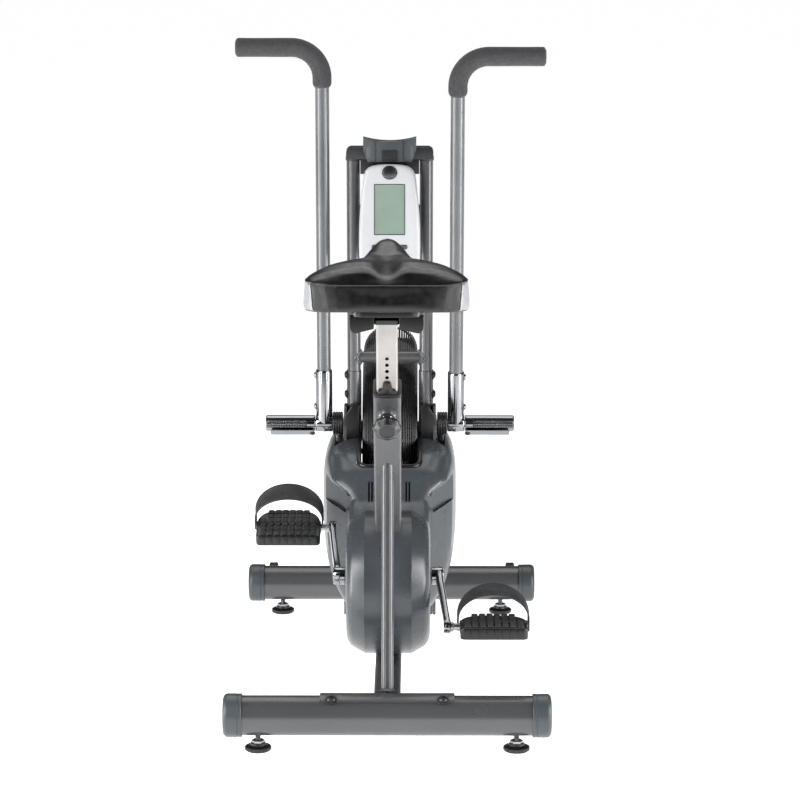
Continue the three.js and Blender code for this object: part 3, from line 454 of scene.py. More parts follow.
class Shape:
    """The parts of one piece, gathered with their places and materials."""

    def __init__(self, place=None):
        self.place = place or Matrix()
        self.points, self.faces, self.slots = [], [], []

    def add(self, part, place=None, slot=0):
        points, faces = part
        first = len(self.points)
        whole = self.place @ place if place else self.place
        self.points += [whole @ Vector(p) for p in points]
        self.faces += [[first + i for i in face] for face in faces]
        self.slots += [slot] * len(faces)
        return self

    def mesh(self, name, materials):
        data = bpy.data.meshes.new(name)
        data.from_pydata(self.points, [], self.faces)
        for material in materials:
            data.materials.append(MATERIAL[material])
        data.polygons.foreach_set("material_index", self.slots)
        obj = bpy.data.objects.new(name, data)
        bpy.context.collection.objects.link(obj)
        hidden_inside(obj)
        return obj

    def piece(self, name, body, materials, nodes=(), bevel=0.0, crease=38, cuts=(), slot=None):
        """Makes the piece, cuts it, rounds its edges, and sets it riding on its body."""
        obj = self.mesh(name, materials)
        for cutter in cuts:
            carve(obj, cutter)
        if bevel:
            soften = obj.modifiers.new("bevel", "BEVEL")
            soften.width = bevel
            soften.segments = 3
            soften.limit_method = "ANGLE"
            soften.angle_limit = radians(32)
            bake(obj)
        shade(obj, crease)
        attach(obj, body)
        if nodes:
            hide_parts(*nodes)
        return obj


def combine(obj, shapes, operation):
    """Joins shapes to an object, cuts them out of it, or keeps only what they share."""
    for shape in shapes:
        other = shape.mesh("tool", [])
        change = obj.modifiers.new("change", "BOOLEAN")
        change.operation, change.solver, change.object = operation, "EXACT", other
        bake(obj)
        bpy.data.objects.remove(other)


def carve(obj, cutter):
    combine(obj, [cutter], "DIFFERENCE")


def dome_bolt(shape, at, direction, radius, slot=0, washer=True):
    """A domed head with a round socket, on a washer."""
    place = facing(at, direction)
    if washer:
        shape.add(revolve(rod(radius * 1.35, -0.001, 0.0012), 32), place, slot)
    dome = [(0, 0), (radius, 0)] + [(radius * cos(a), 0.0012 + radius * 0.62 * sin(a)) for a in spaced(10, 7)]
    socket, rim = radius * 0.42, dome[-1][1]
    dome += [dome[-1], (socket, rim), (socket, rim - radius * 0.3), (0, rim - radius * 0.3)]
    shape.add(revolve(dome, 32), place, slot)


# ---- Stage: floor, light, camera ----
def make_floor():
    """Pale paper that glows, far past the edge of any view, with painted shade a few metres behind the bike:
    its colour and glow are a little darker there.
    """
    data = bpy.data.meshes.new("floor")
    far = 200
    data.from_pydata([(-far, -far, 0), (far, -far, 0), (far, far, 0), (-far, far, 0)], [], [(0, 1, 2, 3)])
    floor = bpy.data.objects.new("floor", data)
    bpy.context.collection.objects.link(floor)
    paper = Finish("floor", "#fafafa", 0.5)
    paper.shader.inputs["Emission Color"].default_value = (1, 1, 1, 1)
    along = paper.nodes.new("ShaderNodeSeparateXYZ")
    paper.links.new(paper.place, along.inputs[0])
    # Painted shade: the paper's colour and glow fall off towards the camera.
    sweep = paper.mapped(along.outputs["Y"], 0, 1, -3.6, -1.9)
    paper.links.new(paper.mapped(sweep, 0.45, 0.95, 0, 1), paper.shader.inputs["Emission Strength"])
    paper.links.new(paper.mix(sweep, "#c4c4c4", "#fafafa"), paper.shader.inputs["Base Color"])
    data.materials.append(paper.material)


def make_world():
    """A white studio: brightest overhead and behind the object, dimmer behind the camera."""
    world = bpy.data.worlds.new("studio")
    bpy.context.scene.world = world
    world.use_nodes = True
    nodes, links = world.node_tree.nodes, world.node_tree.links
    direction = nodes.new("ShaderNodeTexCoord").outputs["Generated"]
    axes = nodes.new("ShaderNodeSeparateXYZ")
    links.new(direction, axes.inputs[0])

    def ramp(value, start, end, low, high):
        node = nodes.new("ShaderNodeMapRange")
        node.interpolation_type = "SMOOTHSTEP"
        for socket, number in (("From Min", start), ("From Max", end), ("To Min", low), ("To Max", high)):
            node.inputs[socket].default_value = number
        links.new(value, node.inputs["Value"])
        return node.outputs["Result"]

    brightest = nodes.new("ShaderNodeMath")
    brightest.operation = "MAXIMUM"
    links.new(ramp(axes.outputs["Y"], -0.35, 0.35, 0.12, 1.15), brightest.inputs[0])
    links.new(ramp(axes.outputs["Z"], 0.45, 0.95, 0.0, 1.2), brightest.inputs[1])
    links.new(brightest.outputs[0], nodes["Background"].inputs["Strength"])


def softbox(name, at, target, width, height, watts):
    lamp = bpy.data.lights.new(name, "AREA")
    lamp.shape = "RECTANGLE"
    lamp.size, lamp.size_y, lamp.energy = width, height, watts
    obj = bpy.data.objects.new(name, lamp)
    bpy.context.collection.objects.link(obj)
    obj.matrix_world = facing(at, Vector(at) - Vector(target))
    obj.visible_camera = False


CAMERA_AT, CAMERA_TURN, CAMERA_DOWN, LENS_MM = (0.049, -5.4505, 1.574), 0.293, 10.43, 125.8


def make_camera():
    """A long lens, above and behind the saddle, looking slightly down and almost straight along the bike."""
    lens = bpy.data.cameras.new("camera")
    lens.lens, lens.sensor_width, lens.clip_end = LENS_MM, 36, 500
    obj = bpy.data.objects.new("camera", lens)
    bpy.context.collection.objects.link(obj)
    turn = Matrix.Rotation(radians(CAMERA_TURN), 4, "Z") @ Matrix.Rotation(radians(90 - CAMERA_DOWN), 4, "X")
    obj.matrix_world = Matrix.Translation(CAMERA_AT) @ turn
    bpy.context.scene.camera = obj


# ---- Base: stabilisers, caps, feet, transport wheels, beam ----
TUBE_R = 0.037
BEAM_WIDTH, BEAM_HIGH = 0.05, 0.04


def weld_bead(shape, path, radius, slot=0):
    """A rippled fillet of weld along a path."""
    points = [Vector(p) for p in path]
    steps = []
    for a, b in zip(points, points[1:]):
        count = max(2, round((b - a).length / 0.0012))
        steps += [a.lerp(b, i / count) for i in range(count)]
    radii = [radius * (1 + 0.10 * sin(2.1 * i)) for i in range(len(steps))]
    shape.add(tube(steps, radii, 8), None, slot)


def stabiliser(name, axis, half, extras=None):
    shape = Shape(Matrix.Translation(axis))
    shape.add(across(rod(TUBE_R, -half, half), 96))
    if extras:
        extras(shape)
    shape.piece(name, "frame", ["frame", "zinc", "dark_bolt"], [name])


def front_extras(shape):
    """Two lugs with round ends, each with the shoulder bolt that its wheel turns on."""
    shape.place = Matrix()
    for name, side in SIDES.items():
        wheel = middle(f"transport_wheel_{name}")
        inner = side * abs(wheel.x) - side * size(f"transport_wheel_{name}").x / 2
        plate = [(wheel.y - 0.036, wheel.z - 0.012), (wheel.y - 0.036, wheel.z + 0.004)]
        plate += arc((wheel.y, wheel.z), 0.011, 90, -90)
        thick = sorted((inner - side * 0.0065, inner - side * 0.0015))
        shape.add(in_x(slab(plate, *thick)), None, 0)
        span = sorted((inner - side * 0.008, inner + side * 0.021))
        shape.add(across(rod(0.0042, *span), 24), Matrix.Translation((0, wheel.y, wheel.z)), 1)
        dome_bolt(shape, (inner + side * 0.0195, wheel.y, wheel.z), side * X, 0.0075, 2)


def end_cap(end, side_name, side):
    """A moulded cup over the tube's end: a lip, a shadow groove and a soft edge round a dished face."""
    low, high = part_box(f"{end}_cap_{side_name}")
    outer = max(abs(low[0]), abs(high[0]))
    radius = (high[2] - low[2]) / 2
    length = high[0] - low[0]
    axis = middle(f"{end}_cap_{side_name}")
    edge = 0.009
    profile = [(TUBE_R + 0.0002, 0), (radius - 0.0008, 0), (radius, 0.001), (radius, 0.006),
               (radius - 0.0007, 0.0067), (radius - 0.0007, 0.0077), (radius, 0.0084), (radius, length - edge)]
    profile += [(radius - edge + edge * cos(a), length - edge + edge * sin(a)) for a in spaced(10, 10)[1:]]
    profile += [(radius - 0.013, length - 0.0012), (0.01, length - 0.0022), (0, length - 0.0022)]
    place = facing((side * (outer - length), axis.y, axis.z), side * X)
    Shape(place).add(revolve(profile, 96)).piece(
        f"end_cap_{end}_{side_name}", "frame", ["cap"], [f"{end}_cap_{side_name}"])


def levelling_foot(end, side_name):
    """A screw foot: a ribbed rim to turn it by, a rubber sole, a hexagon and the stud."""
    node = f"{end}_foot_{side_name}"
    at = middle(node)
    shape = Shape(Matrix.Translation((at.x, at.y, 0)))
    ribbed = [(0.0238 + 0.0007 * tanh(3 * cos(18 * a)), a) for a in turns(144)]
    rim = [(r * cos(a), r * sin(a)) for r, a in ribbed]
    inner = [(0.93 * a, 0.93 * b) for a, b in rim]
    shape.add(loft(layers(rim, 0.0025, 0.0078) + layers(inner, 0.0092)))
    shape.add(revolve([(0, 0), (0.021, 0), (0.0225, 0.001), (0.0225, 0.0026), (0, 0.0026)]), None, 1)
    shape.add(revolve([(0.018, 0.009), (0.0145, 0.0115), (0.014, 0.015), (0, 0.015)], 48))
    shape.add(revolve([(0, 0.0145), (0.0115, 0.0145), (0.0125, 0.0155), (0.0125, 0.0195), (0.0115, 0.0205),
                       (0, 0.0205)], 6), None, 2)
    thread = [(0, 0.02)]
    for i in range(7):
        thread += [(0.005, 0.0205 + 0.0018 * i), (0.0042, 0.0214 + 0.0018 * i)]
    shape.add(revolve(thread + [(0, 0.0335)], 32), None, 2)
    shape.piece(f"levelling_{node}", node, ["black", "rubber", "zinc"], [node], crease=28)


def transport_wheel(side_name):
    node = f"transport_wheel_{side_name}"
    at, width, radius = middle(node), size(node).x, size(node).z / 2
    half = width / 2
    tread = [(0.0046, -half), (0.0095, -half), (0.0105, -half + 0.0025), (radius - 0.005, -half + 0.0025),
             (radius - 0.0035, -half), (radius - 0.001, -half + 0.0008), (radius, -half + 0.003),
             (radius, -0.0012), (radius - 0.0008, -0.0006), (radius - 0.0008, 0.0006), (radius, 0.0012)]
    profile = tread + [(r, -x) for r, x in tread[::-1]][1:]
    shape = Shape(Matrix.Translation(at))
    shape.add(across(profile + profile[:1], 72))
    shape.piece(node + "_tyre", node, ["rubber"], [node])


def beam():
    """A rectangular tube along the floor, welded at its front end, with the foot that carries the fork welded
    at both its ends.
    """
    low, high = (Vector(c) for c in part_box("main_beam"))
    half, bottom, top = BEAM_WIDTH / 2, low.z, low.z + BEAM_HIGH
    shape = Shape()
    outline = rounded(BEAM_WIDTH, top - bottom, 0.005, (0, (top + bottom) / 2))
    inside_tubes = 0.012
    shape.add(loft(along_y(outline, REAR_AXIS.y + inside_tubes, FRONT_AXIS.y - inside_tubes)))
    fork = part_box("fork_plate_right")
    foot_y = fork[0][1] + 0.016 if fork[0][1] > low.y else 0
    outline = rounded(high.x - low.x, 0.029, 0.004, (0, top + 0.0145))
    ends = (foot_y - 0.015, foot_y + 0.015)
    shape.add(loft(along_y(outline, *ends)))
    for y in ends:
        weld_bead(shape, [(-half, y, top), (half, y, top)], 0.0028)
    for side in (-1, 1):
        rise = ((0.0365, bottom + 0.006), (0.0345, top - 0.022), (0.024, top - 0.002))
        weld_bead(shape, [(side * half, FRONT_AXIS.y - back, z) for back, z in rise], 0.0028)
    weld_bead(shape, [(-half, FRONT_AXIS.y - 0.0215, top), (half, FRONT_AXIS.y - 0.0215, top)], 0.003)
    shape.piece("beam", "frame", ["frame"], ["main_beam"])


def curved_plate():
    """The saddle plate over the rear tube, with round corners and a dome bolt near each end."""
    low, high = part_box("rear_bracket")
    half = high[0]
    outer = high[2] - REAR_AXIS.z
    spread = asin(min(1, (REAR_AXIS.y - low[1]) / outer))
    corner, inner, rings = 0.012, TUBE_R + 0.0003, []
    xs = [-half + corner * (1 - cos(a)) for a in spaced(15, 7)]
    for x in xs + [-v for v in xs[::-1]]:
        inset = corner - sqrt(max(0, corner ** 2 - max(0, abs(x) - half + corner) ** 2))
        reach = spread - inset / outer
        edge = [pi / 2 + reach * (1 - i / 16) for i in range(33)]
        rings.append([(x, outer * cos(a), outer * sin(a)) for a in edge]
                     + [(x, inner * cos(a), inner * sin(a)) for a in edge[::-1]])
    shape = Shape(Matrix.Translation(REAR_AXIS))
    shape.add(loft(rings))
    for side in (-1, 1):
        tilt = Vector((0, -sin(0.5), cos(0.5)))
        dome_bolt(shape, side * 0.103 * X + tilt * outer, tilt, 0.0085, 1)
    shape.piece("curved_plate", "frame", ["frame", "dark_bolt"], ["rear_bracket"], bevel=0.0008)


def make_base():
    stabiliser("rear_stabiliser", REAR_AXIS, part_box("rear_cap_right")[1][0] - 0.0045)
    stabiliser("front_stabiliser", FRONT_AXIS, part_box("front_cap_right")[1][0] - 0.0045, front_extras)
    for side_name, side in SIDES.items():
        for end in ("rear", "front"):
            end_cap(end, side_name, side)
            levelling_foot(end, side_name)
        transport_wheel(side_name)
    beam()
    curved_plate()


# ---- Seat tube, stay, bush, post, pull pin ----
def along_seat(node, pick):
    """How far a CAD node's lowest or highest corner points lie along the seat tube's axis."""
    inverse = SEAT.inverted()
    return pick((inverse @ v.co).z for v in frame["nodes"][node].data.vertices)


TUBE_TOP = along_seat("seat_tube", max)
POST_TOP = along_seat("seat_post", max)
POST_END = POST_TOP + 0.012
POST_BOTTOM = along_seat("seat_post", min)
PIN_ALONG = (SEAT.inverted() @ middle("seat_pin")).z
SEAT_TUBE, POST, HOLE_PITCH = 0.050, 0.039, 0.014


def square_tube(width, radius, low, high, wall=0.0):
    """A square tube with round corners, open if it has a wall."""
    outline = rounded(width, width, radius)
    rings = layers(outline, low, high)
    if not wall:
        return loft(rings)
    inside = rounded(width - 2 * wall, width - 2 * wall, max(0.0008, radius - wall))
    rings += layers(inside, high, low)
    return loft(rings + rings[:1], capped=False)


def seat_tube():
    """The square tube, its crank shell, the pin's boss, and the welds that show."""
    shape = Shape(SEAT)
    beam_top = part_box("main_beam")[0][2] + BEAM_HIGH
    points, faces = square_tube(SEAT_TUBE, 0.006, -0.24, TUBE_TOP - 0.0002, 0.0025)
    inverse = SEAT.inverted()
    cut = []
    for p in points:
        if p.z < 0:
            drop = (beam_top + 0.0005 - (SEAT @ Vector((p.x, p.y, 0))).z) / cos(SEAT_LEAN)
            p = Vector((p.x, p.y, drop))
        cut.append(p)
    shape.add((cut, faces))
    shape.add(across(pipe(0.0105, 0.022, -0.034, 0.034), 64))
    face = -SEAT_TUBE / 2
    place = facing((0, face, PIN_ALONG), -Y)
    bore = 0.0045
    boss = [(bore, -0.001), (0.0165, -0.001), (0.0165, 0.0035), (0.0140, 0.006), (bore, 0.006)]
    nut = [(bore, 0.0058), (0.0128, 0.0058), (0.0128, 0.0138), (0.0118, 0.0148), (0.0100, 0.0150),
           (0.0100, 0.0215), (0.0092, 0.0225), (bore, 0.0225)]
    shape.add(revolve(boss, 48), place)
    shape.add(revolve(nut, 6), place, 1)
    ring = 0.0168
    weld_bead(shape, [(ring * cos(a), face, PIN_ALONG + ring * sin(a)) for a in spaced(6, 61)], 0.0016)
    top = inverse @ (middle("rear_stay") + size("rear_stay") * 0.5)
    stay_hit = Vector((0, face, top.z - 0.012))
    over_stay = [(stay_hit.x + 0.0118 * cos(a), face - 0.0005, stay_hit.z - 0.013 + 0.0155 * sin(a))
                 for a in (radians(6 * i - 10) for i in range(34))]
    weld_bead(shape, over_stay, 0.0022)
    shape.piece("seat_tube_welded", "frame", ["frame", "zinc"], ["seat_tube"])


def rear_stay():
    """The thin round stay from the plate up to the seat tube, cut off there along the tube's rear wall."""
    low, high = (Vector(c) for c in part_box("rear_stay"))
    top = Vector((0, high.y - 0.002, high.z - 0.002))
    bottom = Vector((0, low.y + 0.012, low.z))
    radius = high.x - 0.0013
    shape = Shape()
    points, faces = tube([bottom, top], radius, 48)
    along = (top - bottom).normalized()
    inverse = SEAT.inverted()
    inward = (inverse.to_3x3() @ along).y
    wall = -SEAT_TUBE / 2 + 0.001
    halfway = (top - bottom).length / 2
    shape.add(([p + along * (wall - (inverse @ p).y) / inward if (p - bottom).dot(along) > halfway else p
                for p in points], faces))
    ring, y = radius + 0.0006, REAR_AXIS.y + 0.018
    for k in range(3):
        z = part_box("rear_bracket")[1][2] + 0.0005 * k
        weld_bead(shape, [(ring * cos(a), y + 1.35 * ring * sin(a), z - 0.0022 * sin(a) * 3)
                          for a in spaced(6, 61)], 0.002)
    shape.piece("stay", "frame", ["frame"], ["rear_stay"])


def seat_bush():
    """The plastic lining at the tube's mouth, with its lip and the arched tab behind the post."""
    shape = Shape(SEAT)
    shape.add(square_tube(SEAT_TUBE + 0.002, 0.0068, TUBE_TOP + 0.0002, TUBE_TOP + 0.0068,
                          (SEAT_TUBE + 0.002 - POST) / 2 - 0.0004))
    shape.add(square_tube(SEAT_TUBE - 0.0056, 0.004, TUBE_TOP - 0.09, TUBE_TOP + 0.001, 0.0022))
    tab_top = along_seat("seat_bush", max)
    shoulder_z = TUBE_TOP + 0.0135
    arch = [(-0.0165, TUBE_TOP + 0.004), (0.0165, TUBE_TOP + 0.004)]
    arch += arc((0.0145, shoulder_z), 0.002, 0, 90, 4) + [(0.0094, TUBE_TOP + 0.0165)]
    arch += arc((0, tab_top - 0.0080), 0.0080, 0, 180, 18)
    arch += [(-0.0094, TUBE_TOP + 0.0165)] + arc((-0.0145, shoulder_z), 0.002, 90, 180, 4)
    inner = [(-0.0050, TUBE_TOP + 0.011), (0.0050, TUBE_TOP + 0.011)]
    inner += arc((0, tab_top - 0.0080), 0.0045, 0, 180, 18)
    shape.add(in_y(slab(arch, POST / 2 + 0.0006, SEAT_TUBE / 2 - 0.0006)))
    shape.add(in_y(slab(inner, SEAT_TUBE / 2 - 0.0008, SEAT_TUBE / 2 + 0.0004)))
    shape.piece("bush", "frame", ["black"], ["seat_bush"], bevel=0.0008)


def seat_post():
    """The plated square post with its row of pin holes, capped under the saddle."""
    shape = Shape(SEAT)
    shape.add(square_tube(POST, 0.0045, POST_BOTTOM, POST_END, 0.002))
    holes = []
    along = PIN_ALONG - 3 * HOLE_PITCH
    while along < POST_END - 0.07:
        cutter = Shape(SEAT @ facing((0, -POST / 2 - 0.004, along), Y))
        cutter.add(revolve(rod(0.0036, 0, 0.008), 32))
        holes.append(cutter)
        along += HOLE_PITCH
    shape.piece("post", "seat", ["post"], ["seat_post"], cuts=holes)


def pull_pin():
    """The spring pin: a steel shaft and a scalloped black knob with a raised face."""
    inverse = SEAT.inverted()
    face = min((inverse @ v.co).y for v in frame["nodes"]["seat_pin"].data.vertices)
    out = SEAT @ facing((0, face + 0.0238, PIN_ALONG), -Y)
    shape = Shape()
    shape.add(revolve(rod(0.0038, -0.03, 0.002), 32), out, 1)
    knob = [  # radius, height, depth of the scallops
        (0.0135, 0, 0), (0.0148, 0.0012, 0), (0.0165, 0.0055, 0.1), (0.0215, 0.0078, 0.5),
        (0.0252, 0.0098, 1), (0.0262, 0.0120, 1), (0.0258, 0.0145, 1), (0.0240, 0.0170, 0.8),
        (0.0210, 0.0195, 0.4), (0.0182, 0.0218, 0.1), (0.0170, 0.0234, 0), (0.0160, 0.0240, 0)]
    rings = []
    for radius, height, lobe in knob:
        reach = [(radius + 0.0009 * lobe * (cos(8 * a) - 0.4), a) for a in turns(96)]
        rings.append([(r * cos(a), r * sin(a), height) for r, a in reach])
    shape.add(loft(rings), out, 0)
    shape.add(revolve([(0.0165, 0.0236), (0.0158, 0.0243), (0.0146, 0.0241), (0.0138, 0.0236)], 72), out, 3)
    shape.add(revolve([(0.0138, 0.0239), (0.0124, 0.0246), (0.006, 0.0250), (0, 0.0251)], 72), out, 2)
    shape.piece("pull_knob", "seat_pin", ["black", "zinc", "gloss_black", "cap"], ["seat_pin"])


# ---- Cover ----

COVER_STATIONS = [
    # forward, half width, waist, lowest, widest height, highest
    (0.290, 0.080, 0.080, 0.165, 0.310, 0.350),
    (0.350, 0.080, 0.080, 0.150, 0.335, 0.366),
    (0.395, 0.080, 0.080, 0.140, 0.345, 0.374),
    (0.408, 0.0805, 0.080, 0.136, 0.347, 0.380),
    (0.418, 0.084, 0.080, 0.132, 0.350, 0.388),
    (0.430, 0.098, 0.0802, 0.128, 0.356, 0.406),
    (0.442, 0.110, 0.081, 0.124, 0.360, 0.422),
    (0.449, 0.1135, 0.082, 0.122, 0.360, 0.4295),
    (0.456, 0.116, 0.084, 0.120, 0.360, 0.436),
    (0.468, 0.1187, 0.0955, 0.1175, 0.360, 0.4425),
    (0.480, 0.121, 0.108, 0.115, 0.360, 0.448),
    (0.492, 0.1237, 0.118, 0.1133, 0.360, 0.4535),
    (0.505, 0.126, 0.126, 0.112, 0.360, 0.458),
    (0.530, 0.131, 0.131, 0.112, 0.360, 0.463),
    (0.560, 0.134, 0.134, 0.112, 0.360, 0.467),
    (0.610, 0.1345, 0.1345, 0.112, 0.360, 0.4695),
    (0.680, 0.134, 0.134, 0.112, 0.360, 0.471),
    (0.735, 0.132, 0.132, 0.1135, 0.3585, 0.4705),
    (0.785, 0.129, 0.129, 0.116, 0.355, 0.468),
    (0.815, 0.125, 0.125, 0.124, 0.350, 0.462),
    (0.840, 0.119, 0.119, 0.135, 0.345, 0.454),
    (0.857, 0.113, 0.113, 0.152, 0.340, 0.446),
    (0.870, 0.108, 0.108, 0.165, 0.335, 0.436),
    (0.879, 0.100, 0.100, 0.183, 0.328, 0.423),
    (0.884, 0.092, 0.092, 0.200, 0.320, 0.410),
]
WAIST_LOW, WAIST_HIGH = 0.385, 0.412
COVER_TOP_POWER, COVER_LOW_POWER = 5.0, 2.8
COVER_WALL, DRUM_DROP = 0.003, 0.012
SLOT_HALF, SLOT_RADIUS = 0.0655, 0.277
SLOT_REAR, SLOT_EDGE = REAR_AXIS.y + 0.459, 0.018


def cover_section(half, waist, low, wide, high, inset=0.0, sides=128):
    """A cover section: boxy above its widest height, rounder below it, and pinched to a waist at the rear."""
    ring = []
    for a in turns(sides):
        c, s = cos(a), sin(a)
        above, below = (COVER_TOP_POWER, high - inset - wide), (COVER_LOW_POWER, wide - low - inset)
        power, reach = above if s >= 0 else below
        z = wide + reach * copysign(abs(s) ** (2 / power), s)
        grown = min(1, max(0, (z - WAIST_LOW) / (WAIST_HIGH - WAIST_LOW)))
        width = waist + (half - waist) * grown - inset
        ring.append((width * copysign(abs(c) ** (2 / power), c), z))
    return ring


def cover_body(inset=0.0):
    rings = [[(x, y + REAR_AXIS.y, z) for x, z in cover_section(*section, inset)]
             for y, *section in COVER_STATIONS]
    return loft(rings)


def drum_body(inset=0.0, half=0.080, radius=0.137):
    """The round housing of the crank: a flat tread, straight sloping shoulders and rounded rims."""
    profile = [(0, -half)]
    profile += [(radius - back, rise - half) for back, rise in (
        (0.038, 0), (0.030, 0.0008), (0.0225, 0.0038), (0.0165, 0.0084), (0.0125, 0.0134))]
    profile.append((radius, -0.0445))
    profile += [(r, -x) for r, x in profile[::-1]]
    return across([(max(0, r - inset), x * (1 - inset / half)) for r, x in profile], 144)


def cover_top(x, y):
    """How high the cover's skin is over a point on its top."""
    forward = y - REAR_AXIS.y
    for before, after in zip(COVER_STATIONS, COVER_STATIONS[1:]):
        if before[0] <= forward <= after[0]:
            t = (forward - before[0]) / (after[0] - before[0])
            half, _, _, wide, high = (a + t * (b - a) for a, b in zip(before[1:], after[1:]))
            share = min(1, abs(x) / half)
            return wide + (high - wide) * (1 - share ** COVER_TOP_POWER) ** (1 / COVER_TOP_POWER)
    return 0


def round_tool(radius, half, at):
    """A cylinder across the bike, to cut with."""
    return Shape(Matrix.Translation(at)).add(across(rod(radius, -half, half), 144))


def box_tool(low, high, place=None):
    return Shape(place).add(cuboid(low, high))


def facet_tool(side, grow=0.0):
    """The slanting recess at the cover's rear corner, on one side."""
    near = 0.0745
    outline = [(0.134, 0.4195), (0.094, 0.3985), (near, 0.389), (near, 0.370), (0.088, 0.347), (0.134, 0.367)]
    rear = [(side * (x - grow), REAR_AXIS.y + 0.38, z) for x, z in outline]
    floor = [(side * (x - grow), REAR_AXIS.y + 0.4545 + grow + 1.12 * (x - near), z) for x, z in outline]
    return Shape().add(loft([rear, floor]))


def slot_outline(inset=0.0):
    """The fan's opening seen from above: straight sides and round rear corners."""
    half, corner = SLOT_HALF - inset, SLOT_EDGE
    rear, front = SLOT_REAR + inset, FAN_AT.y + 0.30
    outline = [(half, front)] + arc((half - corner, rear + corner), corner, 0, -90, 10)
    return outline + [(-x, y) for x, y in outline[::-1]]


def slot_tool(inset=0.0):
    """The space the fan and cage need in the cover, open at the top and round below."""
    well = Shape().add(slab(slot_outline(inset), 0.332 + inset, 0.52)).mesh("well", [])
    swing = Shape(Matrix.Translation(FAN_AT))
    swing.add(across(rod(SLOT_RADIUS - inset, inset - SLOT_HALF, SLOT_HALF - inset), 144))
    carve(well, box_tool((-0.3, FAN_AT.y - 0.226, 0), (0.3, FAN_AT.y + 0.5, 0.6)))
    combine(well, [swing], "UNION")
    tool = Shape()
    tool.add(([v.co.copy() for v in well.data.vertices], [list(f.vertices) for f in well.data.polygons]))
    bpy.data.objects.remove(well)
    return tool


def slit_tool(side, near, far, low, high):
    """A slit through the cover for a plate. low and high are (forward, height)."""
    (y0, z0), (y1, z1) = low, high
    x0, x1 = sorted((side * near, side * far))
    return box_tool((x0, REAR_AXIS.y + y0, z0), (x1, REAR_AXIS.y + y1, z1))


def screw_well(side):
    """The place of a cover screw, and the way it faces."""
    return Vector((side * 0.0895, REAR_AXIS.y + 0.45, 0.3845)), Vector((side * 0.7, -1, 0))


def cover_cutters():
    """Everything that passes through the cover, and its vents and screw wells."""
    fork = abs(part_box("fork_plate_right")[1][0])
    plate = 0.006
    lever = abs(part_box("pivot_hub_right")[0][0]) + 0.005
    tools = [slot_tool(), round_tool(0.013, 0.1, CRANK_AT)]
    clear = SEAT_TUBE / 2 + 0.0015
    for low, high in ((0.13, 0.26), (-0.24, -0.06)):
        tools.append(box_tool((-clear, -clear, low), (clear, clear, high), SEAT))
    tools.append(slit_tool(1, -fork - 0.0015, fork + 0.0015, (0.569, 0.09), (0.603, 0.140)))
    for side in SIDES.values():
        tools.append(slit_tool(side, fork - plate - 0.0015, fork + 0.0015, (0.566, 0.1), (0.640, 0.33)))
        tools.append(slit_tool(side, fork - plate - 0.0015, fork + 0.0015, (0.598, 0.42), (0.690, 0.5)))
        tools.append(slit_tool(side, lever - 0.003, lever + 0.011, (0.585, 0.435), (0.675, 0.5)))
        sleeve = Shape(facing((side * MAST_X, REAR_AXIS.y + 0.653, 0.42), Z))
        tools.append(sleeve.add(revolve(rod(0.0175, 0, 0.1), 48)))
        for offset in (0.0322, 0.0382):
            tools.append(slit_tool(side, offset, offset + 0.0032, (0.36, 0.3795), (0.46, 0.4145)))
        at, outward = screw_well(side)
        screw = Shape(facing(at, -outward))
        tools.append(screw.add(revolve(rod(0.0050, 0, 0.0225), 32)))
    return tools


def cover():
    """The clam shell, made whole, hollowed, cut, and parted down the middle."""
    def solid(name, slots, inset):
        """The cover filled in, with the drum joined on and the corner recesses cut."""
        whole = Shape().add(cover_body(inset)).mesh(name, slots)
        drum = Shape(Matrix.Translation(CRANK_AT - DRUM_DROP * Z)).add(drum_body(inset))
        combine(whole, [drum], "UNION")
        for side in SIDES.values():
            carve(whole, facet_tool(side, inset))
        return whole

    shell = solid("cover", ["cover"], 0.0)
    hollow = solid("hollow", [], COVER_WALL)
    inside = shell.modifiers.new("hollow", "BOOLEAN")
    inside.operation, inside.solver, inside.object = "DIFFERENCE", "EXACT", hollow
    bake(shell)
    bpy.data.objects.remove(hollow)
    for tool in cover_cutters():
        carve(shell, tool)
    for side_name, side in SIDES.items():
        half = shell.copy()
        half.data = shell.data.copy()
        half.name = f"cover_shell_{side_name}"
        bpy.context.collection.objects.link(half)
        keep = sorted((side * 0.0002, side * 0.3))
        combine(half, [box_tool((keep[0], -1, 0), (keep[1], 1, 0.6))], "INTERSECT")
        shade(half, 20)
        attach(half, "frame")
        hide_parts(f"shroud_{side_name}")
    bpy.data.objects.remove(shell)


def slot_liner():
    """The black channel round the fan, and the lip round the cover's opening."""
    channel = slot_tool(0.0006).mesh("slot_channel", ["black"])
    carve(channel, slot_tool(0.0021))
    carve(channel, box_tool((-0.2, -0.6, 0.5), (0.2, 0.6, 0.6)))
    combine(channel, [Shape().add(cover_body(0.0002))], "INTERSECT")
    shade(channel, 30)
    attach(channel, "frame")
    front = FAN_AT.y + 0.060
    outline = [(x, y) for x, y in slot_outline(0.0045) if y < front]
    edge = SLOT_HALF - 0.0045
    start = outline[0][1]
    side_run = [(edge, front + (start - front) * i / 24) for i in range(24)]
    whole = side_run + outline[:len(outline) // 2]
    rear = whole[-1][1]
    whole += [(whole[-1][0] * (1 - i / 6), rear) for i in range(1, 7)]
    whole += [(-x, y) for x, y in whole[::-1]][1:]
    path = [(x, y, cover_top(x, y) - 0.0005) for x, y in whole]
    lip = Shape().add(tube(path, 0.0046, 16))
    lip.piece("slot_lip", "frame", ["black"], slot="shroud_left")


def cover_screws():
    for side_name, side in SIDES.items():
        shape = Shape()
        at, outward = screw_well(side)
        dome_bolt(shape, at - outward.normalized() * 0.0165, outward, 0.0036, washer=False)
        shape.piece(f"cover_screw_{side_name}", "frame", ["dark_bolt"], slot=f"shroud_{side_name}")


# ---- Fan and its cage ----
WIRE = 0.0017


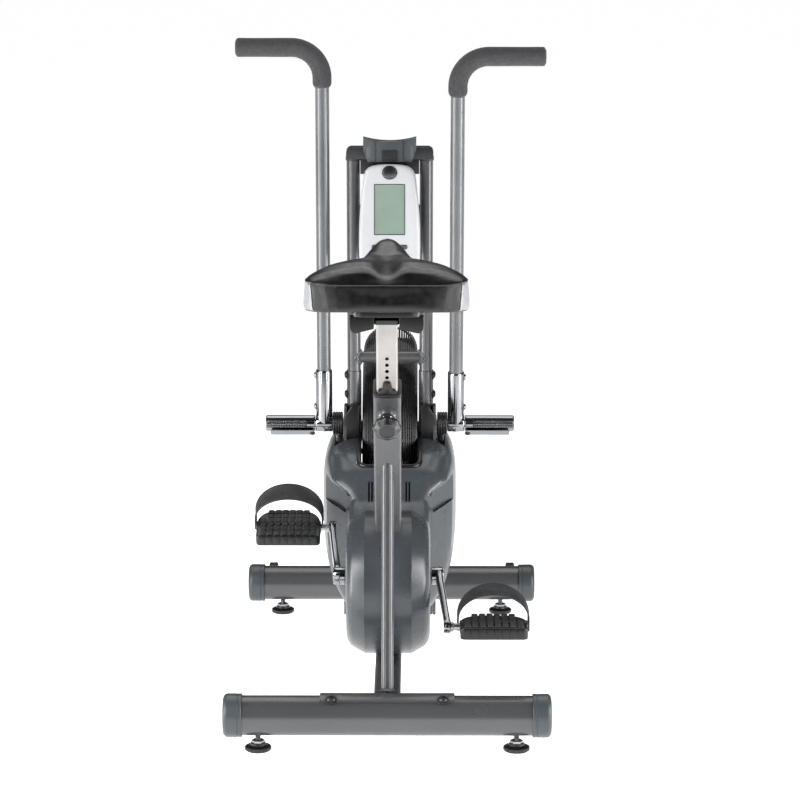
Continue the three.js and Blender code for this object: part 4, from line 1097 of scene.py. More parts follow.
def cage_profile():
    """The cage's section as (radius, x): in along a side, round the bend and across the rim."""
    side, radius, bend = 0.0548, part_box("fan_cage")[1][2] - FAN_AT.z - 0.002, 0.050
    outline = [(r, side) for r in (0.058 + 0.0085 * i for i in range(20)) if r < radius - bend - 0.004]
    outline += [(radius - bend + bend * sin(a), side - bend + bend * cos(a))
                for a in spaced(6.2, 15)]
    return [(r, x) for r, x in outline if x > 0.0035]


def fan_cage():
    """Round wires side by side, from one hub ring over the rim to the other, tied by radial bows."""
    shape = Shape(Matrix.Translation(FAN_AT))
    profile = cage_profile()
    for r, x in profile:
        for side in (-1, 1):
            shape.add(hoop(r, side * x, WIRE, 112 if r > 0.15 else 72, 8))
    shape.add(hoop(profile[-1][0] + 0.0002, 0, WIRE, 112, 8))
    bow = [(0.040, profile[0][1])] + profile
    around = bow + [(profile[-1][0], 0)] + [(r, -x) for r, x in bow[::-1]]
    for a in spaced(30, 12, 15):
        path = [(x * 0.945, (r - 0.0032) * cos(a), (r - 0.0032) * sin(a)) for r, x in around]
        shape.add(tube(path, 0.0024, 8))
    for side in (-1, 1):
        x0, x1 = sorted((side * 0.0535, side * 0.0560))
        shape.add(across(pipe(0.030, 0.0555, x0, x1), 96))
        for a in spaced(120, 3, 90):
            dome_bolt(shape, (side * 0.056, 0.045 * cos(a), 0.045 * sin(a)), side * X, 0.0035, 1)
    shape.piece("wire_cage", "frame", ["wire", "zinc"], ["fan_cage"], crease=60)


def fan_wheel():
    """A steel fan: a pressed disc, a hub and twelve folded vanes."""
    shape = Shape(Matrix.Translation(FAN_AT))
    half = size("fan_wheel").x / 2
    bore, hub, disc = 0.0065, 0.028, 0.178
    shape.add(across([(bore, -half), (0.026, -half), (hub, -half + 0.002), (hub, half - 0.002),
                      (0.026, half), (bore, half), (bore, -half)], 48))
    shape.add(across([(0.02, -0.001), (0.09, -0.001), (0.1, -0.004), (disc, -0.004), (disc, -0.0025),
                      (0.1, -0.0025), (0.09, 0.001), (0.02, 0.001), (0.02, -0.001)], 96))
    thin = 0.0009
    for a in spaced(30, 12):
        turn = Matrix.Rotation(a, 4, "X")
        shape.add(slab([(-half, -thin), (half, -thin), (half, thin), (-half, thin)], 0.095, 0.242), turn, 1)
        for edge in (-1, 1):
            x = edge * (half - thin)
            x0, x1 = sorted((x, x - edge * 0.0018))
            shape.add(slab([(x0, 0), (x1, 0), (x1, 0.010), (x0, 0.010)], 0.1, 0.238), turn, 1)
    shape.piece("fan_rotor", "fan", ["steel", "zinc"], ["fan_wheel"])


def make_seat_column():
    seat_tube()
    rear_stay()
    seat_bush()
    seat_post()
    pull_pin()


def make_cover():
    cover()
    slot_liner()
    cover_screws()
    fan_cage()
    fan_wheel()


# ---- Fork, masts, brace, head ----
MAST = leaning((0, REAR_AXIS.y + 0.655, 0.432), MAST_LEAN)
MAST_R, SLEEVE_R, SLEEVE_TOP = 0.0135, 0.015, 0.171
MAST_FOOT, MAST_TOP, BRACE_ALONG = 0.009, 0.605, 0.198


def fork_plate(side_name, side):
    """The plate that carries the fan and the arm's pivot, with the mast's socket welded to it."""
    node = f"fork_plate_{side_name}"
    outer = max(abs(v[0]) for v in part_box(node))
    back, foot = REAR_AXIS.y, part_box("main_beam")[0][2] + BEAM_HIGH + 0.0003
    outline = [(back + 0.570, foot), (back + 0.602, foot), (back + 0.648, 0.326), (back + 0.658, 0.336)]
    outline += arc((FAN_AT.y, FAN_AT.z), 0.026, -80, 95, 12)
    outline += [(back + 0.682, 0.441), (back + 0.676, 0.450)]
    outline += arc((back + 0.660, 0.522), 0.009, 0, 90, 5) + arc((back + 0.623, 0.522), 0.009, 90, 180, 5)
    outline += [(back + 0.602, 0.480)]
    shape = Shape()
    shape.add(in_x(slab(outline, *sorted((side * (outer - 0.006), side * outer)))))
    shape.place = MAST
    bore, chamfer = MAST_R + 0.0002, SLEEVE_R - 0.0008
    socket = [(bore, 0), (chamfer, 0), (SLEEVE_R, 0.001), (SLEEVE_R, SLEEVE_TOP - 0.0012),
              (chamfer, SLEEVE_TOP), (bore, SLEEVE_TOP), (bore, 0)]
    shape.add(revolve(socket, 64), Matrix.Translation((side * MAST_X, 0, 0)))
    for along in (SLEEVE_TOP - 0.010, SLEEVE_TOP - 0.050):
        dome_bolt(shape, (side * (MAST_X + SLEEVE_R - 0.0005), 0, along), side * X, 0.0075, 1)
    for y in (-0.0125, 0.0125):
        x = side * (outer - 0.0062)
        weld_bead(shape, [(x, y, 0.002), (x, y, 0.095)], 0.003)
    shape.piece(f"fork_{side_name}", "frame", ["frame", "dark_bolt"], [node], bevel=0.0008)


def mast(side_name, side):
    """The upright: a plain round tube that stands in its socket."""
    shape = Shape(MAST @ Matrix.Translation((side * MAST_X, 0, 0)))
    shape.add(revolve(rod(MAST_R, MAST_FOOT, MAST_TOP), 64))
    shape.piece(f"upright_{side_name}", "frame", ["frame"], [f"mast_{side_name}"])


def shoulder(side_name, side):
    """The black moulding that fills between the mast's socket and the pivot hub, over the cover's slits."""
    back = REAR_AXIS.y
    profile = [(0.062, 0.452), (0.0895, 0.452), (0.0950, 0.470), (0.0950, 0.506), (0.0915, 0.515),
               (0.0870, 0.5215), (0.0820, 0.5285), (0.0790, 0.535), (0.062, 0.535)]
    shape = Shape(Matrix.Translation((0, back + 0.612, 0)))
    shape.add(in_y(slab(mirrored_x(profile, side), -0.048, 0.006)))
    shape.piece(f"shoulder_{side_name}", "frame", ["black"], slot=f"fork_plate_{side_name}", bevel=0.002)


def mast_brace():
    """The cross tube between the masts, fitted to their curve and welded all round."""
    shape = Shape(MAST @ Matrix.Translation((0, 0, BRACE_ALONG)))
    reach, radius = MAST_X - 0.004, 0.0112
    shape.add(across(rod(radius, -reach, reach), 64))
    for side in SIDES.values():
        for k, (ring, bead) in enumerate(((radius + 0.0006, 0.0026), (radius + 0.0030, 0.0022))):
            path = []
            for i in range(73):
                a = radians(5 * i)
                y = min(MAST_R - 0.0001, ring) * cos(a)
                x = MAST_X - sqrt(max(0, MAST_R ** 2 - y ** 2)) - 0.0012 * (1 - k)
                path.append((side * x, y, ring * sin(a)))
            weld_bead(shape, path, bead)
    shape.piece("cross_brace", "frame", ["frame"], ["mast_brace"])


def mast_head():
    """The moulded head over both masts, the black plate under it behind the console, and the faceted rack."""
    low, high, half = MAST_TOP + 0.0003, MAST_TOP + 0.024, MAST_X + 0.014
    bar = [(-half, low), (half, low)] + arc((half - 0.011, high - 0.011), 0.011, 0, 90, 8)
    bar += arc((-half + 0.011, high - 0.011), 0.011, 90, 180, 8)
    shape = Shape(MAST)
    shape.add(in_y(slab(bar, -0.015, 0.015)))
    for side in SIDES.values():
        place = Matrix.Translation((side * MAST_X, 0, 0))
        bore, foot, top = 0.0136, low - 0.004, low + 0.004
        sleeve = [(bore, foot), (0.0146, foot), (0.0152, low - 0.003), (0.0152, top), (bore, top), (bore, foot)]
        shape.add(revolve(sleeve, 48), place)
    shape.add(cuboid((-0.059, -0.012, low - 0.030), (0.059, -0.002, low + 0.002)), None, 1)
    shape.piece("head", "frame", ["head", "black"], ["mast_head"], bevel=0.0018)
    rack = Shape(MAST)
    rim = [(0.053 * (1 - 2 * i / 16), high + 0.0145 + 0.0075 * (1 - 2 * i / 16) ** 2) for i in range(17)]
    facets = [(-0.053, 0.0225), (-0.047, 0.0245), (-0.028, 0.0275), (-0.026, 0.0300), (0.026, 0.0300),
              (0.028, 0.0275), (0.047, 0.0245), (0.053, 0.0225)]
    outline = [(-0.044, low - 0.004), (0.044, low - 0.004), (0.053, high - 0.002)]
    outline += rim + [(-0.053, high - 0.002)]
    rack.add(in_y(slab(outline, 0.008, 0.0225)))
    for (x0, deep0), (x1, deep1) in zip(facets, facets[1:]):
        def edge(x):
            base = low - 0.004 + max(0, abs(x) - 0.044) * 2.8
            top = high + 0.0132 + 0.0075 * (x / 0.053) ** 2
            return base, top
        (b0, t0), (b1, t1) = edge(x0), edge(x1)
        panel = [(x0 + 0.0002, -0.02, b0), (x1 - 0.0002, -0.02, b1), (x1 - 0.0002, -deep1, b1 + 0.001),
                 (x0 + 0.0002, -deep0, b0 + 0.001)]
        top = [(x0 + 0.0002, -0.02, t0), (x1 - 0.0002, -0.02, t1), (x1 - 0.0002, -deep1 + 0.004, t1 - 0.001),
               (x0 + 0.0002, -deep0 + 0.004, t0 - 0.001)]
        rack.add(loft([panel, top]))
    # A dark panel at the rack's middle: painted shade, standing for the shade of a recess there.
    rack.add(in_y(slab(rounded(0.031, 0.022, 0.002, (0, low + 0.009)), 0.028, 0.0308)), None, 1)
    rack.piece("device_rack", "frame", ["cap", "head"], slot="mast_head", bevel=0.0006)


# ---- Console ----
SCREEN_HALF, SCREEN_LOW, SCREEN_HIGH = 0.031, -0.038, 0.063
BUTTONS = {"left": (-0.028, -0.062), "right": (0.028, -0.062), "middle": (0, -0.080)}
FACE = -0.017


def console_outline(inset=0.0):
    """The housing's face: a low arch on top, sides that swell downwards, round lower corners."""
    half, tall = 0.061, 0.1020
    side = [(0.0, tall + 0.0005), (0.012, tall + 0.0003), (0.025, tall - 0.0008), (0.036, tall - 0.003),
            (0.0430, tall - 0.0065), (0.0480, tall - 0.0125), (0.0510, tall - 0.020), (0.0528, tall - 0.030),
            (0.0545, tall - 0.045), (0.0572, tall - 0.070), (0.0595, tall - 0.100), (0.0606, tall - 0.125),
            (half, -0.060), (half - 0.0004, -0.0855)]
    side += arc((half - 0.0124, -tall + 0.012), 0.012, 0, -90, 6)
    ring = side + [(-x, z) for x, z in side[::-1]][:-1]
    return [(x * (1 - inset / half), z * (1 - inset / tall)) for x, z in ring]


def console_bracket():
    """A plate welded between the masts, with the block that reaches back to the console."""
    shape = Shape(MAST)
    front = -MAST_R - 0.0003
    shape.add(in_y(slab(rounded(0.122, 0.050, 0.004, (0, 0.490)), -front, -front + 0.004)))
    shape.add(cuboid((-0.030, front - 0.0148, 0.470), (0.030, front - 0.003, 0.510)))
    for side in SIDES.values():
        for along in (0.476, 0.504):
            dome_bolt(shape, (side * 0.022, front - 0.004, along), -Y, 0.0045, 1)
    shape.piece("console_plate", "frame", ["black", "dark_bolt"], ["console_bracket"], bevel=0.001)


def console():
    """The silver housing with its window, keys and a plain oval badge."""
    rings = []
    for y, inset in ((0.017, 0.006), (0.0145, 0.0018), (0.012, 0.0002), (-0.0095, 0.0), (-0.0125, 0.0006),
                     (-0.0152, 0.0024), (-0.0166, 0.0052), (-0.017, 0.0095)):
        rings += along_y(console_outline(inset), y)
    window = Shape(CONSOLE)
    centre = (0, (SCREEN_LOW + SCREEN_HIGH) / 2)
    size_x, size_z = 2 * SCREEN_HALF + 0.0006, SCREEN_HIGH - SCREEN_LOW + 0.0006
    window.add(in_y(slab(rounded(size_x, size_z, 0.0015, centre), -FACE - 0.0043, -FACE + 0.002)))
    cuts = [window]
    for x, z in BUTTONS.values():
        pocket = slab(rounded(0.0156, 0.0096, 0.004, (x, z)), -FACE - 0.007, -FACE + 0.002)
        cuts.append(Shape(CONSOLE).add(in_y(pocket)))
    seam = Shape(CONSOLE)
    outer, inner = console_outline(-0.002), console_outline(0.0010)
    groove = along_y(outer, 0.0012, 0.0002) + along_y(inner, 0.0002, 0.0012)
    seam.add(loft(groove + groove[:1], capped=False))
    cuts.append(seam)
    case = Shape(CONSOLE).add(loft(rings))
    case.piece("console_case", "frame", ["silver"], ["console_housing"], cuts=cuts, crease=30)
    glass = Shape(CONSOLE)
    wide, tall = 2 * SCREEN_HALF, SCREEN_HIGH - SCREEN_LOW
    frame_out = rounded(wide, tall, 0.0014, centre)
    frame_in = rounded(wide - 0.0024, tall - 0.0024, 0.001, centre)
    glass.add(in_y(slab(frame_out, -FACE - 0.004, -FACE - 0.0022)))
    rim = along_y(frame_out, FACE + 0.0022, FACE + 0.0004) + along_y(frame_in, FACE + 0.0022)
    glass.add(loft(rim + rim[:1], capped=False), None, 1)
    glass.piece("console_window", "frame", ["display", "black"], ["console_screen"])
    badge = Shape(CONSOLE)
    for scale, top in ((1.0, 0.0009), (0.86, 0.0013)):
        oval = [(0.0152 * scale * cos(a), 0.0855 + 0.0138 * scale * sin(a)) for a in turns(48)]
        badge.add(in_y(slab(oval, -FACE - 0.0006, -FACE + top)), None, 0 if scale == 1.0 else 1)
    badge.piece("plain_badge", "frame", ["black", "zinc"], slot="console_housing", bevel=0.0003)
    for name, (x, z) in BUTTONS.items():
        key = Shape(CONSOLE)
        outline = rounded(0.015, 0.009, 0.0038, (x, z))
        small = rounded(0.0128, 0.0068, 0.0030, (x, z))
        key.add(loft(along_y(outline, FACE + 0.003, FACE - 0.0014) + along_y(small, FACE - 0.0024)))
        key.piece(f"key_{name}", f"button_{name}", ["cap"], [f"button_{name}"], bevel=0.0003)


# ---- Swing arms, hubs, pegs ----
ARM_X, ARM_TUBE_R, GRIP_R = 0.134, 0.0139, 0.0188
ARM_HEIGHT, ARM_BEND, GRIP_START, GRIP_END = 0.765, 0.060, 0.686, 0.305


def spread(path, step):
    """Points along a path at an even spacing."""
    points = [Vector(path[0])]
    for a, b in zip(path, path[1:]):
        a, b = Vector(a), Vector(b)
        count = max(1, ceil((b - a).length / step))
        points += [a.lerp(b, (i + 1) / count) for i in range(count)]
    return points


def distances(path):
    total, along = 0.0, [0.0]
    for a, b in zip(path, path[1:]):
        total += (b - a).length
        along.append(total)
    return along


def pivot_hub(side_name, side):
    """The ribbed black hub and the lever under it, one moulding round a steel core."""
    node = f"pivot_hub_{side_name}"
    place = leaning(ARM_AT, arm_lean(side_name))
    low, high = 0.096, 0.1168
    ribs = [(0.0085, low), (0.0205, low)]
    for i in range(4):
        start = low + 0.0005 + i * 0.0051
        ribs += [(0.0234, start + 0.0004), (0.0240, start + 0.0012), (0.0240, start + 0.0030),
                 (0.0234, start + 0.0038), (0.0222, start + 0.0042), (0.0222, start + 0.0048)]
    ribs += [(0.0205, high), (0.0085, high), (0.0085, low)]
    shape = Shape(place).add(across(mirrored(ribs, side), 72))
    x0, x1 = sorted((side * 0.101, side * 0.109))
    lever = [(-0.0125, -0.016), (-0.009, -0.030), (-0.009, -0.105)]
    lever += arc((0, -0.120), 0.013, 150, 390, 16) + [(0.009, -0.105), (0.009, -0.030), (0.0125, -0.016)]
    shape.add(in_x(slab(lever, x0, x1)), None, 1)
    shape.piece(f"hub_{side_name}", f"arm_{side_name}", ["black", "steel"], [node], bevel=0.0004)


def arm_socket(side_name, side):
    """The plated cup that holds the arm's tube, its cross collar, the gusset between them and two screws."""
    shape = Shape(leaning(ARM_AT, arm_lean(side_name)))
    cup = [(0, -0.0163), (0.0090, -0.0155), (0.0138, -0.0125), (0.0160, -0.008), (0.0168, 0), (0.0168, 0.1080),
           (0.0164, 0.1105), (0.0156, 0.1120), (ARM_TUBE_R + 0.0004, 0.1120), (ARM_TUBE_R + 0.0004, 0.020),
           (0, 0.020)]
    shape.add(revolve(cup, 64), Matrix.Translation((side * ARM_X, 0, 0)))
    collar = [(0.0083, 0.1172), (0.0155, 0.1172), (0.0170, 0.1187), (0.0170, 0.1490), (0.0160, 0.1510),
              (0.0083, 0.1510), (0.0083, 0.1172)]
    shape.add(across(mirrored(collar, side), 64))
    sweep = [(0.1500 - 0.0055 * sin(a), 0.012 + 0.030 * i / 6) for i, a in enumerate(spaced(15, 7))]
    web = mirrored_x([(0.1495, 0.0)] + sweep + [(0.140, 0.042), (0.140, 0.0)], side)
    shape.add(in_y(slab(web, -0.006, 0.006)))
    for along in (0.101, 0.036):
        dome_bolt(shape, (side * (ARM_X + 0.0160), 0, along), side * X, 0.0062, 0)
    node = f"arm_socket_{side_name}"
    shape.piece(f"socket_{side_name}", f"arm_{side_name}", ["chrome"], [node], bevel=0.0004)


def arm_path(side, start, end):
    return bent_path([(side * ARM_X, 0, start), (side * ARM_X, 0, ARM_HEIGHT), (side * end, 0, ARM_HEIGHT)],
                     ARM_BEND, 24)


def arm_tube(side_name, side):
    """The bent tube, which ends inside the grip."""
    shape = Shape(leaning(ARM_AT, arm_lean(side_name)))
    shape.add(tube(arm_path(side, 0.0205, GRIP_END - 0.006), ARM_TUBE_R, 48))
    shape.piece(f"bent_arm_{side_name}", f"arm_{side_name}", ["arm"], [f"arm_tube_{side_name}"])


def foam_grip(side_name, side):
    """A long foam sleeve with tapered lower end and a rounded outer end."""
    path = spread(arm_path(side, GRIP_START, GRIP_END), 0.003)
    along = distances(path)
    total = along[-1]
    radii = []
    for s in along:
        start = min(1, s / 0.010)
        end = min(1, (total - s) / 0.007)
        radius = ARM_TUBE_R + 0.0006 + (GRIP_R - ARM_TUBE_R - 0.0006) * sin(start * pi / 2) ** 0.7
        radii.append(radius - 0.006 * (1 - sqrt(max(0, 1 - (1 - end) ** 2))))
    wobble = [r + 0.00012 * sin(61 * s) for r, s in zip(radii, along)]
    shape = Shape(leaning(ARM_AT, arm_lean(side_name)))
    shape.add(tube(path, wobble, 64))
    tip = path[-1]
    shape.add(across(rod(0.0062, 0, side * 0.0004), 32), Matrix.Translation(tip), 1)
    node = f"arm_grip_{side_name}"
    grip = shape.piece(f"foam_grip_{side_name}", f"arm_{side_name}", ["foam", "rubber"], [node], crease=50)


def foot_peg(side_name, side):
    """The plated peg with its rows of grip teeth, its shaft, and the curved plate hung under it."""
    inner, outer, radius = 0.152, 0.253, 0.0165
    shape = Shape(Matrix.Translation(ARM_AT))
    bar = [(0, 0.094), (0.0078, 0.094), (0.0078, inner), (radius - 0.001, inner), (radius, inner + 0.001),
           (radius, outer - 0.003), (radius - 0.0008, outer - 0.0009), (radius - 0.003, outer), (0, outer)]
    shape.add(across(mirrored(bar, side), 72))
    band = [radians(a) for a in range(-24, 34, 3)]
    arch = [(-(radius + 0.0003) * cos(a), (radius + 0.0003) * sin(a)) for a in band]
    arch += [(-(radius - 0.001) * cos(a), (radius - 0.001) * sin(a)) for a in band[::-1]]
    shape.add(loft([[(side * x, y, z) for y, z in arch] for x in (0.169, 0.2515)]), None, 1)
    for row in (158, 176, 194):
        for i in range(12):
            for offset in (0, 0.0033):
                x = 0.172 + 0.0066 * i + offset
                lo, hi = sorted((side * x, side * (x + 0.0017)))
                turn = Matrix.Rotation(radians(row - 180), 4, "X")
                shape.add(cuboid((lo, -radius - 0.0011, -0.0017), (hi, -radius + 0.002, 0.0017)), turn)
    rings = []
    for i in range(21):
        x = inner + 0.003 + (outer - inner - 0.013) * i / 20
        reach = radians(322 - 70 * (i / 20) ** 2.2)
        start = radians(208)
        edge = [start + (reach - start) * k / 16 for k in range(17)]
        rings.append([(side * x, 0.0238 * cos(a), 0.0238 * sin(a)) for a in edge]
                     + [(side * x, 0.0218 * cos(a), 0.0218 * sin(a)) for a in edge[::-1]])
    shape.add(loft(rings))
    for i in range(3):
        x = side * (inner + 0.008 + 0.030 * i)
        shape.add(cuboid((x - 0.0015, -0.0015, -0.0225), (x + 0.0015, 0.0015, -0.012)))
    dome_bolt(shape, (side * (inner + 0.006), -0.0150, -0.0175), (0, -0.75, -0.66), 0.0042, 1)
    shape.piece(f"peg_{side_name}", "frame", ["chrome", "dark_bolt"], [f"foot_peg_{side_name}"], bevel=0.0003)


def make_upper():
    for side_name, side in SIDES.items():
        fork_plate(side_name, side)
        mast(side_name, side)
        shoulder(side_name, side)
        pivot_hub(side_name, side)
        arm_socket(side_name, side)
        arm_tube(side_name, side)
        foam_grip(side_name, side)
        foot_peg(side_name, side)
    mast_brace()
    mast_head()
    console_bracket()
    console()


# ---- Drive: axle, cranks, pulleys, belt, rods ----
THROW = (pivot("pedal_left_spin") - pivot("crank_spin")).yz.length
PEDAL_TILT = {"left": radians(20), "right": 0}
PEDAL_INNER, PEDAL_OUTER = 0.134, 0.262
PEDAL_MIDDLE, PEDAL_HALF, PEDAL_DEEP = (PEDAL_INNER + PEDAL_OUTER) / 2, (PEDAL_OUTER - PEDAL_INNER) / 2, 0.050
BELT_X, BELT_HALF, BELT_THIN = 0.0645, 0.0025, 0.0014


def boxy(value):
    """Pushes a sine or cosine outwards, so that a round section turns squarer."""
    return copysign(abs(value) ** 0.65, value)


def crank_place(side_name):
    throw = pivot(f"pedal_{side_name}_spin") - CRANK_AT
    return leaning(CRANK_AT, atan2(throw.z, throw.y))


def crank_arm(side_name, side):
    """A forged crank: a round boss with a capped bolt, a waisted arm that bows out, and the pedal's eye."""
    stations = [
        # forward, middle x, half thickness, half depth
        (-0.0175, 0.0970, 0.0040, 0.0050),
        (-0.0130, 0.0970, 0.0072, 0.0125),
        (0.0000, 0.0972, 0.0078, 0.0165),
        (0.0150, 0.0985, 0.0076, 0.0150),
        (0.0350, 0.1000, 0.0070, 0.0118),
        (0.0800, 0.1045, 0.0064, 0.0100),
        (0.1250, 0.1085, 0.0062, 0.0096),
        (0.1520, 0.1108, 0.0064, 0.0108),
        (0.1700, 0.1115, 0.0066, 0.0128),
        (0.1790, 0.1115, 0.0060, 0.0095),
        (0.1825, 0.1115, 0.0035, 0.0040),
    ]
    rings = []
    for y, x, thick, deep in stations:
        rings.append([(side * (x + thick * boxy(cos(a))), y, deep * boxy(sin(a))) for a in turns(40)])
    shape = Shape(crank_place(side_name)).add(loft(rings))
    at_eye = Matrix.Translation((0, THROW, 0))
    boss = [(0, 0.083), (0.0160, 0.083), (0.0170, 0.084), (0.0170, 0.1035), (0.0158, 0.1055),
            (0.0125, 0.1060), (0.0118, 0.1048), (0, 0.1048)]
    shape.add(across(mirrored(boss, side), 64))
    cap = [(0, 0.1040), (0.0113, 0.1040), (0.0113, 0.1056), (0.0095, 0.1068), (0, 0.1074)]
    shape.add(across(mirrored(cap, side), 48), None, 1)
    eye = [(0, 0.1045), (0.0115, 0.1045), (0.0122, 0.1052), (0.0122, 0.1172), (0.0112, 0.1180), (0, 0.1180)]
    shape.add(across(mirrored(eye, side), 48), at_eye)
    tip = PEDAL_OUTER - 0.008
    spindle = [(0, 0.116), (0.0095, 0.1185), (0.0095, 0.1225), (0.0070, 0.1235), (0.0070, tip), (0, tip)]
    shape.add(across(mirrored(spindle, side), 48), at_eye, 2)
    shape.piece(f"forged_crank_{side_name}", "crank", ["chrome", "black", "steel"], [f"crank_{side_name}"])


def pedal_outline(inset=0.0):
    """The pedal seen from above: square at the rear, drawn in to a round front."""
    half, deep = PEDAL_HALF - inset, PEDAL_DEEP - inset
    rear = arc((half - 0.007, -deep + 0.007), 0.007, 0, -90, 5)
    front = [(half * cos(a) ** 0.62, -0.002 + (deep + 0.002) * sin(a) ** 0.9)
             for a in (radians(89.9 * i / 16) for i in range(17))]
    right = rear[::-1] + front
    return right + [(-x, y) for x, y in right[::-1]]


def pedal_place(side_name, side):
    """The middle of a pedal, tilted as it rests."""
    axle = leaning(Vector((0, *pivot(f"pedal_{side_name}_spin").yz)), PEDAL_TILT[side_name])
    return axle @ Matrix.Translation((side * PEDAL_MIDDLE, 0, 0))


def pedal(side_name, side):
    """A platform pedal: a frame with a round front, a spindle barrel, rubber blocks and a grooved bar."""
    half, deep, place = PEDAL_HALF, PEDAL_DEEP, pedal_place(side_name, side)
    shape = Shape(place)
    rings = []
    for height, inset in ((-0.0130, 0.0045), (-0.0115, 0.0018), (-0.0090, 0.0012),
                          (0.0070, 0.0012), (0.0092, 0.0022), (0.0100, 0.0045)):
        rings += layers(pedal_outline(inset), height)
    shape.add(loft(rings))
    for i in range(8):
        x = (i - 3.5) * 0.0146
        shape.add(cuboid((x - 0.0058, -deep, -0.0100), (x + 0.0058, -deep + 0.004, 0.0075)))
    bore, chamfer, end = 0.0075, 0.0115, half - 0.0005
    barrel = [(bore, -end), (chamfer, -end), (0.0125, -half + 0.0018), (0.0125, half - 0.0018),
              (chamfer, end), (bore, end), (bore, -end)]
    shape.add(across(barrel, 48))
    cap = [(0, half - 0.0015), (0.0095, half - 0.0015), (0.0095, half - 0.0004), (0.0085, half), (0, half)]
    shape.add(across(mirrored(cap, side), 48))
    shape.piece(f"platform_{side_name}", f"pedal_{side_name}", ["black"], [f"pedal_{side_name}"], bevel=0.0005)
    tread = Shape(place)
    for row in range(6):
        y = -0.0375 + row * 0.0146
        share = min(1, max(0, (y + 0.006) / 0.052)) ** (1 / 0.9)
        room = (half - 0.006) * (1 - share ** 2) ** 0.31
        for column in range(8):
            x = (column - 3.5) * 0.0140
            if abs(x) + 0.0045 > room:
                continue
            crown = 0.0030 + 0.0022 * (1 - (x / half) ** 2)
            outline = rounded(0.0115, 0.0118, 0.0022, (x, y), 3)
            small = rounded(0.0095, 0.0098, 0.0016, (x, y), 3)
            for way, height in ((1, crown), (-1, 0.0008)):
                base = 0.0090 if way > 0 else 0.0120
                tread.add(loft(layers(outline, way * base, way * (base + height))
                               + layers(small, way * (base + height + 0.001))))
    tread.piece(f"tread_{side_name}", f"pedal_{side_name}", ["rubber"], slot=f"pedal_{side_name}", crease=30)


def pedal_strap(side_name, side):
    """The moulded strap over the front of the pedal, thicker along its edges, with a row of holes."""
    place = pedal_place(side_name, side)
    reach, rise = 0.0661, 0.0585
    path = [(-reach, -0.0115), (-reach, 0.000), (-reach, 0.010)]
    path += [(-reach * cos(a), 0.014 + rise * sin(a)) for a in spaced(3, 59, 3)]
    path += [(reach, 0.010), (reach, 0.000), (reach, -0.0115)]
    section = [(0.0100, 0.0010), (0.0092, 0.0), (0.0100, -0.0010), (0.0115, -0.0014), (0.0140, -0.0014),
               (0.0150, -0.0010), (0.0280, -0.0010), (0.0410, -0.0010), (0.0420, -0.0014), (0.0445, -0.0014),
               (0.0460, -0.0010), (0.0468, 0.0), (0.0460, 0.0010), (0.0445, 0.0018), (0.0420, 0.0018),
               (0.0410, 0.0010), (0.0280, 0.0010), (0.0150, 0.0010), (0.0140, 0.0018), (0.0115, 0.0018)]
    rings = []
    for i, (x, z) in enumerate(path):
        before, after = path[max(0, i - 1)], path[min(len(path) - 1, i + 1)]
        run = Vector((after[0] - before[0], after[1] - before[1])).normalized()
        normal = Vector((-run.y, run.x))
        ring = []
        for y, out in section:
            lift = 0.80 + 0.20 * (y - 0.009) / 0.038 if z > 0 else 1
            ring.append((x + normal.x * out, y, (z + normal.y * out) * lift))
        rings.append(ring)
    strap = Shape(place).add(loft(rings))
    cuts = []
    for i in range(3):
        outline = rounded(0.006, 0.0035, 0.0017, (0.028, -0.0065 + 0.0085 * i))
        cuts.append(Shape(place).add(in_x(slab(outline, -0.08, 0.08))))
    node = f"pedal_strap_{side_name}"
    strap.piece(f"toe_strap_{side_name}", f"pedal_{side_name}", ["rubber"], [node], cuts=cuts)


def drive():
    """The axle, the two pulleys and the belt, and the fan's axle."""
    half = size("crank_axle").x / 2
    axle = Shape(Matrix.Translation(CRANK_AT))
    axle.add(across([(0, -half), (0.0088, -half), (0.0100, -half + 0.0015), (0.0100, half - 0.0015),
                     (0.0088, half), (0, half)], 48))
    axle.piece("axle", "crank", ["steel"], ["crank_axle"])
    reach = size("fan_axle").x / 2
    spindle = Shape(Matrix.Translation(FAN_AT))
    spindle.add(across([(0, -reach), (0.0052, -reach), (0.0060, -reach + 0.001), (0.0060, reach - 0.001),
                        (0.0052, reach), (0, reach)], 32))
    spindle.piece("fan_spindle", "fan", ["steel"], ["fan_axle"])
    for node, body, at, bore, radius in (("crank_pulley", "crank", CRANK_AT, 0.0103, 0.064),
                                         ("fan_pulley", "fan", FAN_AT, 0.0063, 0.016)):
        x0, x1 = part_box(node)[0][0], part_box(node)[1][0]
        lip = radius + 0.003
        profile = [(bore, x0), (lip, x0), (lip, x0 + 0.0008), (radius, x0 + 0.0016)]
        for i in range(5):
            groove = x0 + 0.0020 + 0.0011 * i
            profile += [(radius - 0.0007, groove), (radius, groove + 0.0005)]
        profile += [(radius, x1 - 0.0016), (lip, x1 - 0.0008), (lip, x1), (bore, x1), (bore, x0)]
        Shape(Matrix.Translation(at)).add(across(profile, 96)).piece(
            node + "_turned", body, ["steel"], [node], crease=30)
    Shape().add(belt_loop()).piece("ribbed_belt", "frame", ["rubber"], ["drive_belt"], crease=50)


